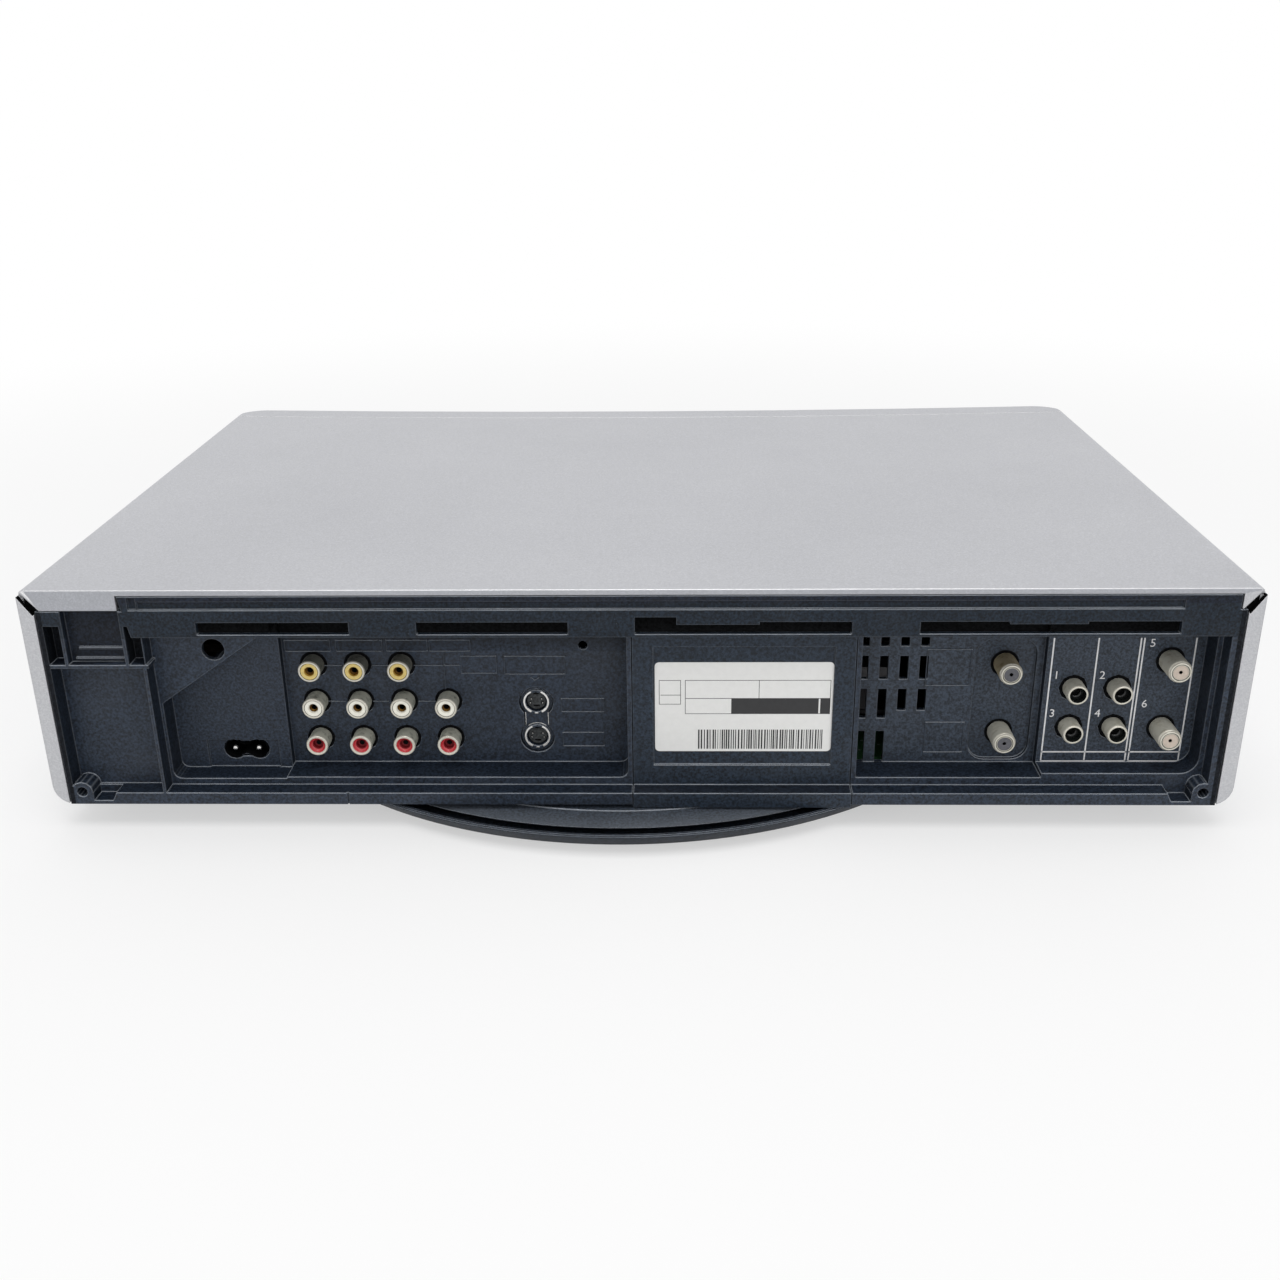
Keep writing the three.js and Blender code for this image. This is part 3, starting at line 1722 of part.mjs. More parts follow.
// Arm about its pivot, with the pin that carries the roller.
function pinchArm() {
  const low = deckTop + pinch.lift;
  const top = low + pinch.arm;
  const [x, y] = pinchTip;
  const geometry = new THREE.ExtrudeGeometry(
    evenly(-pinch.boss, pinch.length + pinch.boss, -pinch.boss, pinch.boss, pinch.boss),
    { depth: pinch.arm, bevelEnabled: false, curveSegments: 3 },
  );
  geometry.rotateZ(pinchAngle);
  geometry.translate(0, 0, low);
  const pin = zRod(pinch.pin, x, y, low, top + pinch.rollerHeight + seat + fit, 8);
  return cut(join(solid(geometry), pin), zRod(pinch.pin + fit, 0, 0, 0, bodyHeight, 8));
}

function pinchRoller() {
  const low = deckTop + pinch.lift + pinch.arm + fit;
  const bore = pinch.pin + fit;
  return turned(
    [
      [bore, low],
      [pinch.roller, low],
      [pinch.roller, low + pinch.rollerHeight],
      [bore, low + pinch.rollerHeight],
      [bore, low],
    ],
    0,
    0,
    14,
  );
}

// Guide post about its own axis: it rides in a slot of the deck between a base and a plate below.
function guidePost() {
  const low = deckTop + fit;
  const plateTop = deckUnder - fit;
  const top = deckTop + guide.postHeight;
  return turned(
    [
      [0, plateTop - guide.plate],
      [guide.base, plateTop - guide.plate],
      [guide.base, plateTop],
      [guide.neck, plateTop],
      [guide.neck, low],
      [guide.base, low],
      [guide.base, low + guide.baseHeight],
      [guide.post, low + guide.baseHeight],
      [guide.post, top - guide.flangeHeight],
      [guide.flange, top - guide.flangeHeight],
      [guide.flange, top],
      [0, top],
    ],
    0,
    0,
    10,
  );
}

function tensionArm() {
  const low = deckTop + tension.lift;
  const length = Math.hypot(tension.reachX, tension.reachY);
  const geometry = new THREE.ExtrudeGeometry(
    evenly(-tension.boss, length + tension.post, -tension.post, tension.post, tension.post),
    { depth: tension.arm, bevelEnabled: false, curveSegments: 2 },
  );
  geometry.rotateZ(Math.atan2(tension.reachY, tension.reachX));
  geometry.translate(0, 0, low);
  const hub = zRod(tension.boss, 0, 0, low, low + tension.arm, 10);
  const post = zRod(tension.post, tension.reachX, tension.reachY, low, low + tension.postHeight, 8);
  return cut(join(solid(geometry), hub, post), zRod(pinch.pin + fit, 0, 0, 0, bodyHeight, 8));
}

function tapeHead(one) {
  const low = deckTop;
  const face = low + one.lift;
  const stand = box(
    one.x - one.width / 2,
    one.x + one.width / 2,
    one.y - one.depth / 2,
    one.y,
    low,
    face + one.height,
  );
  const nose = evenly(
    one.x - one.width / 2,
    one.x + one.width / 2,
    one.y - one.depth / 2,
    one.y + one.depth / 2,
    one.depth / 3,
  );
  return join(stand, zPrism(nose, face, face + one.height, 3));
}

function loadingMotor() {
  const z = deckTop + motor.cradle + motor.radius;
  const left = motor.x - motor.length / 2;
  const right = motor.x + motor.length / 2;
  const can = xRod(motor.radius, motor.y, z, left, right, 14);
  const shaft = xRod(motor.shaft, motor.y, z, right - seat, right + motor.shaftLength, 8);
  const cradle = box(
    motor.x - motor.length / 4,
    motor.x + motor.length / 4,
    motor.y - motor.radius,
    motor.y + motor.radius,
    deckTop,
    z,
  );
  return join(can, shaft, cradle);
}

function toothedWheel() {
  const outline = [];
  for (let i = 0; i < camGear.teeth; i += 1) {
    const step = (2 * Math.PI) / camGear.teeth;
    const root = camGear.radius - camGear.tooth;
    [
      [root, 0],
      [root, 1 / 4],
      [camGear.radius, 3 / 8],
      [camGear.radius, 3 / 4],
    ].forEach(([radius, turn]) => {
      const angle = (i + turn) * step;
      outline.push([radius * Math.cos(angle), radius * Math.sin(angle)]);
    });
  }
  const low = deckTop + camGear.lift;
  const top = low + camGear.height;
  const hub = zRod(camGear.hub, 0, 0, low, top + camGear.hubHeight, 10);
  const bore = zRod(camGear.shaft + fit, 0, 0, 0, top + seat, 8);
  return cut(join(zPrism(polygon(outline), low, top), hub), bore);
}

// Swivel base, about its own axis

function baseRing() {
  const low = ring.bottom;
  const floor = low + ring.floor;
  const top = baseHeight - ring.lipDrop;
  const outer = ringRadius + ring.flare;
  const foot = ringRadius - ring.footInset;
  const dish = turned(
    [
      [0, low],
      [foot, low],
      [outer, top - ring.flare],
      [ringRadius, top],
      [ringRadius - ring.lip, top],
      [foot - ring.lip, floor],
      [ring.track + ring.trackWidth / 2, floor],
      [ring.track + ring.trackWidth / 2, floor + ring.trackHeight],
      [ring.track - ring.trackWidth / 2, floor + ring.trackHeight],
      [ring.track - ring.trackWidth / 2, floor],
      [ring.hub, floor],
      [ring.hub, baseHeight + fit],
      [0, baseHeight + fit],
    ],
    0,
    0,
    36,
  );
  const stop = zRod(ring.stopPin, 0, -ring.stopRadius, floor - seat, floor + ring.stopHeight, 12);
  return join(dish, stop);
}

function antiSlipRing() {
  const middle = ringRadius - ring.footInset - footRing.inset;
  const inner = middle - footRing.width / 2;
  const outer = middle + footRing.width / 2;
  const top = ring.bottom;
  return turned(
    [
      [inner, 0],
      [outer, 0],
      [outer, top],
      [inner, top],
      [inner, 0],
    ],
    0,
    0,
    36,
  );
}

function baseDisc() {
  const top = baseHeight;
  const under = top - disc.plate;
  const edge = top - disc.edgeDrop;
  const low = top - disc.skirtDrop;
  const step = discRadius - disc.stepInset;
  const glideIn = ring.track - ring.trackWidth / 2;
  const glideOut = ring.track + ring.trackWidth / 2;
  const hole = ring.hub + fit;
  const body = turned(
    [
      [hole, under],
      [glideIn, under],
      [glideIn, glideHeight],
      [glideOut, glideHeight],
      [glideOut, under],
      [discRadius - disc.skirtWall - disc.edgeDrop, under],
      [discRadius - disc.skirtWall - disc.edgeDrop, low],
      [discRadius - disc.edgeDrop, low],
      [discRadius, edge - disc.stepDrop],
      [discRadius - disc.stepDrop, edge],
      [step, top - disc.shoulderDrop - disc.stepDrop],
      [step, top - disc.shoulderDrop],
      [disc.shoulder, top - disc.shoulderDrop],
      [disc.shoulder, top],
      [hole, top],
      [hole, under],
    ],
    0,
    0,
    36,
  );
  const ribs = [-1, 1].map((side) => {
    const angle = THREE.MathUtils.degToRad(-90 + side * disc.ribAngle);
    const geometry = new THREE.BoxGeometry(ring.stopPin * 4, disc.ribWidth, under - glideHeight + seat);
    geometry.translate(ring.stopRadius, 0, (under + glideHeight + seat) / 2);
    geometry.rotateZ(angle);
    return solid(geometry);
  });
  return join(body, ...ribs);
}

function swivelRetainer() {
  const low = baseHeight + fit;
  return turned(
    [
      [0, low],
      [retainer.radius, low],
      [retainer.radius, low + retainer.thickness],
      [retainer.head, low + retainer.thickness],
      [retainer.head, low + retainer.thickness + retainer.headHeight],
      [0, low + retainer.thickness + retainer.headHeight],
    ],
    0,
    0,
    14,
  );
}

// Materials

function surface(color, roughness, metalness) {
  return new THREE.MeshStandardMaterial({ color, roughness, metalness, flatShading: true });
}

const silver = () => surface(0xbebfc3, 0.42, 0.55);
const black = () => surface(0x2f343c, 0.6, 0);
const darkBase = () => surface(0x464a52, 0.6, 0);
const nickel = () => surface(0xbdb7a6, 0.35, 0.9);
const steel = () => surface(0xa9acb0, 0.4, 0.9);
const aluminium = () => surface(0xc9ccd0, 0.3, 0.95);
const circuit = () => surface(0x2d5a34, 0.6, 0);
const plastic = () => surface(0xd9d6cc, 0.55, 0);
const rubber = () => surface(0x1b1b1d, 0.9, 0);
const smoked = () => surface(0x14161a, 0.15, 0);
const chromed = () => surface(0xd0d2d6, 0.15, 1);

function part(name, made, material) {
  const mesh = made.getMesh();
  const geometry = new THREE.BufferGeometry();
  geometry.setAttribute("position", new THREE.BufferAttribute(new Float32Array(mesh.vertProperties), 3));
  geometry.setIndex(new THREE.BufferAttribute(new Uint32Array(mesh.triVerts), 1));
  geometry.computeVertexNormals();
  const node = new THREE.Mesh(geometry, material);
  node.name = name;
  return node;
}

function placed(node, x, y, z = 0) {
  node.position.set(x, y, z);
  return node;
}

// Assembly

const turntable = new THREE.Group();
turntable.position.set(swivelOffset, 0, 0);
turntable.add(
  part("base_ring", baseRing(), darkBase()),
  part("anti_slip_ring", antiSlipRing(), rubber()),
  part("base_disc", baseDisc(), darkBase()),
  part("swivel_retainer", swivelRetainer(), steel()),
);

// The body's frame has its origin at the foot of the rear plane.
const body = new THREE.Group();
body.position.set(0, swivelToRear, baseHeight);
body.add(
  part("chassis_tray", chassisTray(), black()),
  part("top_cover", topCover(), silver()),
  part("front_panel", frontPanel(), silver()),
  part("cassette_flap", cassetteFlap(), silver()),
  part("front_door", frontDoor(), silver()),
  part("display_window", displayWindow(), smoked()),
  part("display_module", displayModule(), circuit()),
  part("front_board", frontBoardCard(), circuit()),
  part("front_jack_block", frontJackBlock(), black()),
  part("rear_housing", rearHousing(), black()),
  part("centre_plate", centrePlate(), black()),
  part("s_video_block", svideoBlock(), black()),
  part("mains_inlet", mainsInlet(), black()),
  part("main_board", mainBoard(), circuit()),
  part("power_board", powerBoard(), circuit()),
  part("power_transformer", powerTransformer(), steel()),
);
buttonPlaces.forEach((one) => body.add(part(one.name, pushButton(one.x, one.z, one.width), silver())));
jackColumnShares.forEach((columnShare, column) => {
  const made = jackColumn(
    columnShare * half,
    jackRows(column),
    rca.radius,
    rca.bore,
    rca.tip,
    rear.jackDepth,
  );
  body.add(part(`jack_column_${column + 1}`, made, nickel()));
});
decoderColumnShares.forEach((columnShare, column) => {
  const made = jackColumn(
    -columnShare * half,
    decoderRowShares,
    decoder.radius,
    decoder.bore,
    decoder.tip,
    rear.inletDepth,
  );
  body.add(part(`decoder_jack_column_${column + 1}`, made, nickel()));
});
aerialRowShares.forEach((rowShare, row) => {
  const x = -share("aerial");
  const z = rowShare * bodyHeight;
  const name = row === 0 ? "aerial_in_socket" : "aerial_out_socket";
  body.add(part(name, fSocket(x, z, fConnector.aerialTip, tunerFace), nickel()));
});
satelliteRowShares.forEach((rowShare, row) => {
  const x = -share("satellite");
  const z = rowShare * bodyHeight;
  const name = row === 0 ? "satellite_in_socket" : "satellite_out_socket";
  body.add(part(name, fSocket(x, z, fConnector.satTip, satelliteFace), nickel()));
});
body.add(
  part(
    "tuner_can",
    tunerCan(-share("aerial"), tuner.width, tuner.low, tuner.high, tuner.depth, tunerFace),
    steel(),
  ),
  part(
    "satellite_tuner_can",
    tunerCan(
      -share("satellite"),
      satTuner.width,
      satTuner.low,
      satTuner.high,
      satTuner.depth,
      satelliteFace,
    ),
    steel(),
  ),
);

// The mechanism's frame has its origin under the middle of the deck.
const mechanism = new THREE.Group();
mechanism.position.set(0, -swivelToRear, 0);
const drumFrame = new THREE.Group();
drumFrame.position.set(0, drum.y, drumMeetZ);
drumFrame.rotation.x = THREE.MathUtils.degToRad(drum.tilt);
drumFrame.add(part("upper_drum", upperDrum(), aluminium()));
mechanism.add(
  part("mechanism_deck", mechanismDeck(), steel()),
  part("left_holder_bracket", holderBracket(-1), steel()),
  part("right_holder_bracket", holderBracket(1), steel()),
  part("holder_carriage", holderCarriage(), steel()),
  part("cassette_holder", cassetteHolder(), steel()),
  part("lower_drum", lowerDrum(), aluminium()),
  drumFrame,
  placed(part("supply_reel_table", reelTable(), plastic()), -reel.spacing / 2, reel.y),
  placed(part("take_up_reel_table", reelTable(), plastic()), reel.spacing / 2, reel.y),
  placed(part("capstan_flywheel", capstanFlywheel(), chromed()), capstan.x, capstan.y),
  placed(part("pinch_arm", pinchArm(), steel()), pinch.x, pinch.y),
  placed(part("pinch_roller", pinchRoller(), rubber()), pinch.x + pinchTip[0], pinch.y + pinchTip[1]),
  placed(part("supply_guide_post", guidePost(), chromed()), -guide.startX, guide.startY),
  placed(part("take_up_guide_post", guidePost(), chromed()), guide.startX, guide.startY),
  placed(part("tension_arm", tensionArm(), steel()), tension.x, tension.y),
  part("control_head", tapeHead(controlHead), steel()),
  part("erase_head", tapeHead(eraseHead), steel()),
  part("loading_motor", loadingMotor(), steel()),
  placed(part("cam_gear", toothedWheel(), plastic()), camGear.x, camGear.y),
);
body.add(mechanism);

const recorder = new THREE.Group();
recorder.add(turntable, body);

export default recorder;
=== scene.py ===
# Looks of the video recorder: materials, connector detail, printed panel, camera and light.
# Row frame, metres. Lengths are written in millimetres and turned into metres by MM.
import math

import bmesh
import bpy
import numpy as np
from mathutils import Matrix, Vector
from mathutils.bvhtree import BVHTree


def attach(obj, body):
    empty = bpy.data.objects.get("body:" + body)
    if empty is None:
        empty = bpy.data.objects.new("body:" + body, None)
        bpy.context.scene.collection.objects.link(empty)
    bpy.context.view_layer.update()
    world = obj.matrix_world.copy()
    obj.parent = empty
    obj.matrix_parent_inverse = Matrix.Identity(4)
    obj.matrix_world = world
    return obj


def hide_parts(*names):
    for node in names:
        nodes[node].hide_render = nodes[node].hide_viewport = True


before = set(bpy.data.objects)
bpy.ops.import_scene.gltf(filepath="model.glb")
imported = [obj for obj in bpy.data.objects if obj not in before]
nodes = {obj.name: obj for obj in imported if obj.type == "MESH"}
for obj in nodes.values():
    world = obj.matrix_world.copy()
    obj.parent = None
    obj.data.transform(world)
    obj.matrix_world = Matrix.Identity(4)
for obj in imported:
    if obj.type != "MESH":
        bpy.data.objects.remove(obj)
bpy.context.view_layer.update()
MM = 0.001
REAR_Y = 145.0
BODY_Z = 10.0
SWIVEL = (7.0, 0.0, 0.0)
UPWARD = (0, 0, 1)
IMAGE_WIDTH = 1280.0
SENSOR_WIDTH = 36.0


def new_object(name, data):
    made = bpy.data.objects.new(name, data)
    bpy.context.scene.collection.objects.link(made)
    return made


# Camera, fitted to the photograph
def make_camera():
    focal_px, pitch, yaw, roll = 1365.755, 0.3948266, -0.0253635, -0.0112810
    place = Vector((-12.694, REAR_Y + 438.184, 247.915 + BODY_Z)) * MM
    level = Vector((math.sin(yaw), math.cos(yaw), 0.0))
    right = Vector((math.cos(yaw), -math.sin(yaw), 0.0))
    up = Vector(UPWARD)
    ahead = level * math.cos(pitch) - up * math.sin(pitch)
    tilted = up * math.cos(pitch) + level * math.sin(pitch)
    side = right * math.cos(roll) + tilted * math.sin(roll)
    top = tilted * math.cos(roll) - right * math.sin(roll)
    turn = Matrix.Rotation(math.pi, 3, "Z")
    side, top, ahead = turn @ side, turn @ top, turn @ ahead
    data = bpy.data.cameras.new("camera")
    data.sensor_width = SENSOR_WIDTH
    data.lens = SENSOR_WIDTH * focal_px / IMAGE_WIDTH
    data.clip_start = 0.01
    data.clip_end = 20.0
    camera = new_object("camera", data)
    basis = Matrix((side, top, -ahead)).transposed().to_4x4()
    camera.matrix_world = Matrix.Translation(place) @ basis
    bpy.context.scene.camera = camera


# A node graph. A number or colour fed to a socket is set there, and a socket is linked.
class Graph:
    def __init__(self, owner, kind="Material"):
        if isinstance(owner, str):
            owner = bpy.data.materials.new(owner)
        owner.use_nodes = True
        self.owner = owner
        self.tree = owner.node_tree
        self.tree.nodes.clear()
        self.surface = self.add("ShaderNodeOutput" + kind).inputs["Surface"]
        self.place = self.add("ShaderNodeTexCoord").outputs["Object"]

    def add(self, kind, inputs=(), **settings):
        node = self.tree.nodes.new(kind)
        for key, value in settings.items():
            setattr(node, key, value)
        for key, value in dict(inputs).items():
            self.feed(node.inputs[key], value)
        return node

    def feed(self, target, value):
        if isinstance(value, bpy.types.NodeSocket):
            self.tree.links.new(value, target)
        else:
            target.default_value = value

    def noise(self, scale, detail=2.0, rough=0.5, vector=None):
        inputs = {"Vector": vector or self.place, "Scale": scale, "Detail": detail, "Roughness": rough}
        return self.add("ShaderNodeTexNoise", inputs).outputs["Fac"]

    def cells(self, scale, output="Distance"):
        return self.add("ShaderNodeTexVoronoi", {"Vector": self.place, "Scale": scale}).outputs[output]

    def cell_greys(self, scale):
        return self.add("ShaderNodeSeparateColor", {0: self.cells(scale, "Color")}).outputs

    def mapped(self, scale):
        return self.add("ShaderNodeMapping", {"Vector": self.place, "Scale": scale}).outputs[0]

    def ramp(self, value, *stops):
        node = self.add("ShaderNodeValToRGB", {0: value})
        band = node.color_ramp
        while len(band.elements) < len(stops):
            band.elements.new(0.5)
        for element, (spot, grey) in zip(band.elements, stops):
            element.position = spot
            element.color = (grey, grey, grey, 1.0)
        return node.outputs[0]

    def mix(self, share, a, b, mode="MIX"):
        a, b = ((*value, 1.0) if isinstance(value, tuple) else value for value in (a, b))
        inputs = {0: share, 6: a, 7: b}
        return self.add("ShaderNodeMix", inputs, data_type="RGBA", blend_type=mode).outputs[2]

    def maths(self, kind, a, b):
        return self.add("ShaderNodeMath", {0: a, 1: b}, operation=kind).outputs[0]

    def spread(self, value, low, high, start=0.0, end=1.0, kind="LINEAR"):
        inputs = {"Value": value, "From Min": start, "From Max": end, "To Min": low, "To Max": high}
        return self.add("ShaderNodeMapRange", inputs, interpolation_type=kind).outputs[0]

    def bump(self, height, strength, normal=None, distance=0.0002):
        node = self.add("ShaderNodeBump", {"Strength": strength, "Distance": distance, "Height": height})
        if normal is not None:
            self.feed(node.inputs["Normal"], normal)
        return node.outputs[0]

    def height(self, vector):
        return self.add("ShaderNodeSeparateXYZ", {0: vector}).outputs["Z"]

    def soft_edges(self, radius):
        return self.add("ShaderNodeBevel", {"Radius": radius}, samples=4).outputs[0]

    # Painted highlight mask: where the softened normal leaves the face's own, more so on edges that look up
    # towards the lamps
    def edge_mask(self, rounded):
        flat = self.add("ShaderNodeNewGeometry").outputs["True Normal"]
        alike = self.add("ShaderNodeVectorMath", {0: rounded, 1: flat}, operation="DOT_PRODUCT")
        away = self.maths("SUBTRACT", 1.0, alike.outputs["Value"])
        upward = self.ramp(self.height(rounded), (0.05, 0.16), (0.5, 1.0))
        return self.maths("MULTIPLY", self.ramp(away, (0.006, 0.0), (0.14, 1.0)), upward)

    def seen_share(self):
        path = self.add("ShaderNodeLightPath").outputs
        seen = self.maths("MAXIMUM", path["Is Camera Ray"], path["Is Glossy Ray"])
        return self.maths("MAXIMUM", seen, path["Is Transmission Ray"])

    def blend(self, share, first, second):
        both = self.add("ShaderNodeMixShader", {0: share, 1: first.outputs[0], 2: second.outputs[0]})
        self.feed(self.surface, both.outputs[0])

    def shade(self, **values):
        inputs = {key.replace("_", " "): value for key, value in values.items()}
        self.feed(self.surface, self.add("ShaderNodeBsdfPrincipled", inputs).outputs[0])
        return self.owner


def toned(base, share, more=0.0):
    return tuple(min(1.0, share * value + more) for value in base)


def flaked_paint(name, dark, light, metallic=0.55, rough=0.42):
    g = Graph(name)
    cloud = g.noise(9.0, 3.0)
    sparkle = g.ramp(g.cell_greys(2600.0)[0], (0.0, 0.30), (0.55, 0.50), (1.0, 0.78))
    tone = g.mix(cloud, dark, light)
    colour = g.mix(0.22, tone, sparkle, "OVERLAY")
    specks = g.ramp(g.noise(640.0, 1.0), (0.76, 0.0), (0.80, 1.0))
    colour = g.mix(g.maths("MULTIPLY", specks, 0.18), colour, (0.8, 0.8, 0.8))
    normal = g.soft_edges(0.0006)
    # Painted highlight: the edges, more so those that look up, are lightened almost to white
    colour = g.mix(g.maths("MULTIPLY", g.edge_mask(normal), 0.75), colour, (0.95, 0.95, 0.96))
    normal = g.bump(g.noise(1500.0), 0.05, normal)
    roughness = g.spread(g.noise(45.0, 3.0), rough - 0.05, rough + 0.07)
    return g.shade(Base_Color=colour, Metallic=metallic, Roughness=roughness, Normal=normal)


def moulded(name, base, wear_and_highlight, rough=0.5, grain=0.3, dust=0.5, edge=0.00045, shine=0.5, mottle=0.65,
            fade=None):
    g = Graph(name)
    cloud = g.noise(14.0, 4.0, 0.6)
    colour = g.mix(cloud, toned(base, 0.84), toned(base, 1.22, 0.004))
    speckle = g.ramp(g.noise(1050.0, 2.0, 0.75), (0.36, 1.0 - mottle), (0.64, 1.0 + mottle))
    colour = g.mix(1.0, colour, speckle, "MULTIPLY")
    rounded = g.soft_edges(edge)
    rim = g.edge_mask(rounded)
    rubbing_and_highlight = g.spread(g.noise(60.0), 0.4, 1.0)
    # Painted highlight and wear: edges, more so those that look up, are lightened in patches towards a pale
    # colour
    colour = g.mix(g.maths("MULTIPLY", rim, rubbing_and_highlight), colour, wear_and_highlight)
    fine = g.ramp(g.cells(520.0), (0.045, 1.0), (0.075, 0.0))
    patch = g.ramp(g.noise(22.0, 3.0), (0.45, 0.0), (0.7, 1.0))
    lint = g.maths("MULTIPLY", g.maths("MULTIPLY", fine, patch), dust)
    colour = g.mix(lint, colour, toned(base, 1.6, 0.16))
    haze = g.ramp(g.noise(34.0, 5.0, 0.65), (0.50, 0.0), (0.78, 0.35 * dust))
    colour = g.mix(haze, colour, toned(base, 1.0, 0.05))
    # Painted shadow: the colour darkens towards the top, between the two fade heights
    if fade is not None:
        colour = g.mix(1.0, colour, g.spread(g.height(g.place), 1.0, 0.4, *fade), "MULTIPLY")
    normal = g.bump(g.noise(1700.0, 2.0, 0.6), grain, rounded, 0.0003)
    roughness = g.spread(g.noise(75.0, 3.0), rough - 0.07, rough + 0.12)
    return g.shade(Base_Color=colour, Roughness=roughness, Normal=normal, Specular_IOR_Level=shine)


# Dark mouldings share their pale, rubbed-looking edges, which are painted highlights as well as wear, and
# small coloured ones their fine grain.
def casing(name, base, shine, rough=0.5, edge=0.0007, **more):
    return moulded(name, base, (0.60, 0.65, 0.72), rough, edge=edge, shine=shine, **more)


def cup(name, base, wear_and_highlight, mottle, rough=0.3, dust=0.1, edge=0.0002, shine=0.5):
    return moulded(name, base, wear_and_highlight, rough, 0.05, dust, edge, shine, mottle)


def plated(name, base, stain, rough=0.28, stained=0.5, metallic=1.0):
    g = Graph(name)
    cloud = g.noise(330.0, 4.0, 0.65)
    spots = g.ramp(cloud, (0.50, 0.0), (0.70, stained))
    colour = g.mix(spots, base, stain)
    colour = g.mix(g.ramp(g.noise(1800.0), (0.45, 0.0), (0.8, 0.25)), colour, base)
    normal = g.bump(g.noise(900.0, 3.0), 0.06, g.soft_edges(0.00025))
    roughness = g.spread(cloud, rough - 0.06, rough + 0.22)
    return g.shade(Base_Color=colour, Metallic=metallic, Roughness=roughness, Normal=normal)


def brushed(name, base, rough=0.35, stretch=(30, 2200, 2200)):
    g = Graph(name)
    lines = g.noise(1.0, 4.0, 0.6, g.mapped(stretch))
    tone = g.mix(g.ramp(lines, (0.3, 0.0), (0.7, 1.0)), toned(base, 0.86), base)
    colour = g.mix(g.ramp(g.noise(26.0, 4.0), (0.5, 0.0), (0.8, 0.3)), tone, toned(base, 0.7))
    normal = g.bump(lines, 0.06, g.soft_edges(0.0003))
    return g.shade(Base_Color=colour, Metallic=1.0, Roughness=g.spread(lines, rough - 0.05, rough + 0.12),
                   Normal=normal)


def zinc_sheet(name, base):
    g = Graph(name)
    greys = g.cell_greys(190.0)
    spangle = g.ramp(greys[0], (0.0, 0.82), (1.0, 1.0))
    colour = g.mix(1.0, base, spangle, "MULTIPLY")
    normal = g.bump(g.noise(700.0), 0.05, g.soft_edges(0.0003))
    return g.shade(Base_Color=colour, Metallic=1.0, Roughness=g.spread(greys[1], 0.3, 0.42),
                   Normal=normal)


def lacquered_board(name, mask, copper):
    g = Graph(name)
    inputs = {"Vector": g.mapped((170, 170, 170)), "Mortar Size": 0.06, "Color1": (0, 0, 0, 1),
              "Color2": (0.25, 0.25, 0.25, 1), "Mortar": (1, 1, 1, 1)}
    bricks = g.add("ShaderNodeTexBrick", inputs)
    pads = g.ramp(g.cells(300.0), (0.16, 1.0), (0.2, 0.0))
    colour = g.mix(bricks.outputs["Color"], mask, copper)
    colour = g.mix(g.maths("MULTIPLY", pads, 0.55), colour, (0.62, 0.62, 0.60))
    normal = g.bump(bricks.outputs["Color"], 0.15)
    return g.shade(Base_Color=colour, Roughness=g.spread(g.noise(90.0), 0.28, 0.42), Normal=normal)


def polished(name, base, rough, **more):
    g = Graph(name)
    smear = g.noise(30.0, 4.0, 0.7)
    colour = g.mix(g.ramp(smear, (0.45, 0.0), (0.8, 0.25)), base, toned(base, 1.0, 0.02))
    normal = g.bump(g.noise(200.0, 1.0), 0.01, g.soft_edges(0.0004))
    return g.shade(Base_Color=colour, Roughness=g.spread(smear, rough, rough + 0.07), Normal=normal,
                   **more)


def printed(name, base, shade=0.9, rough=0.45, **more):
    g = Graph(name)
    fade = g.ramp(g.noise(420.0, 3.0, 0.6), (0.3, shade), (0.65, 1.0))
    colour = g.mix(1.0, base, fade, "MULTIPLY")
    normal = g.bump(g.noise(1200.0), 0.05, distance=0.0001)
    return g.shade(Base_Color=colour, Roughness=g.spread(g.noise(150.0), rough - 0.05, rough + 0.1),
                   Normal=normal, **more)


def rubbery(name, base):
    g = Graph(name)
    rubbing_and_highlight = g.noise(160.0, 5.0, 0.7)
    colour = g.mix(g.ramp(rubbing_and_highlight, (0.5, 0.0), (0.8, 0.6)), base, (0.075, 0.072, 0.07))
    normal = g.bump(g.noise(1100.0, 3.0), 0.3, g.soft_edges(0.0004), 0.0003)
    return g.shade(Base_Color=colour, Roughness=g.spread(rubbing_and_highlight, 0.75, 0.95), Normal=normal)


SILVER = flaked_paint("silver_paint", (0.435, 0.44, 0.465), (0.50, 0.505, 0.53))
SILVER_PLASTIC = flaked_paint("silver_plastic", (0.43, 0.435, 0.46), (0.495, 0.50, 0.525), 0.45, 0.46)
# Lit and shaded copies of the silver paint: painted shade on the rear lip, painted light on the sides' rear
# lips
SILVER_LIP_PAINTED_SHADE = flaked_paint("silver_lip_painted_shade", (0.36, 0.37, 0.40), (0.42, 0.43, 0.46))
SILVER_SIDE_PAINTED_LIGHT = flaked_paint("silver_side_painted_light", (0.475, 0.48, 0.50), (0.54, 0.545, 0.565))
# Near-white paint for the cover's rounded rear edge: a painted highlight
SILVER_PAINTED_HIGHLIGHT = flaked_paint("silver_painted_highlight", (0.93, 0.93, 0.94), (0.97, 0.97, 0.98), 0.9, 0.2)
BLACK = casing("black_plastic", (0.015, 0.0232, 0.0385), 0.34)
BLACK_PLATE = casing("black_plate", (0.012, 0.02, 0.033), 0.3, 0.47, dust=0.4)
BLACK_LEDGE = casing("black_ledge", (0.0065, 0.01, 0.019), 0.2, edge=0.0006)
BLACK_RAIL = casing("black_rail", (0.0065, 0.012, 0.0205), 0.23)
BLACK_NOOK_PAINTED_SHADE = casing("black_nook_painted_shade", (0.005, 0.008, 0.015), 0.17)
BLACK_LIT = casing("black_lit", (0.025, 0.035, 0.052), 0.36)
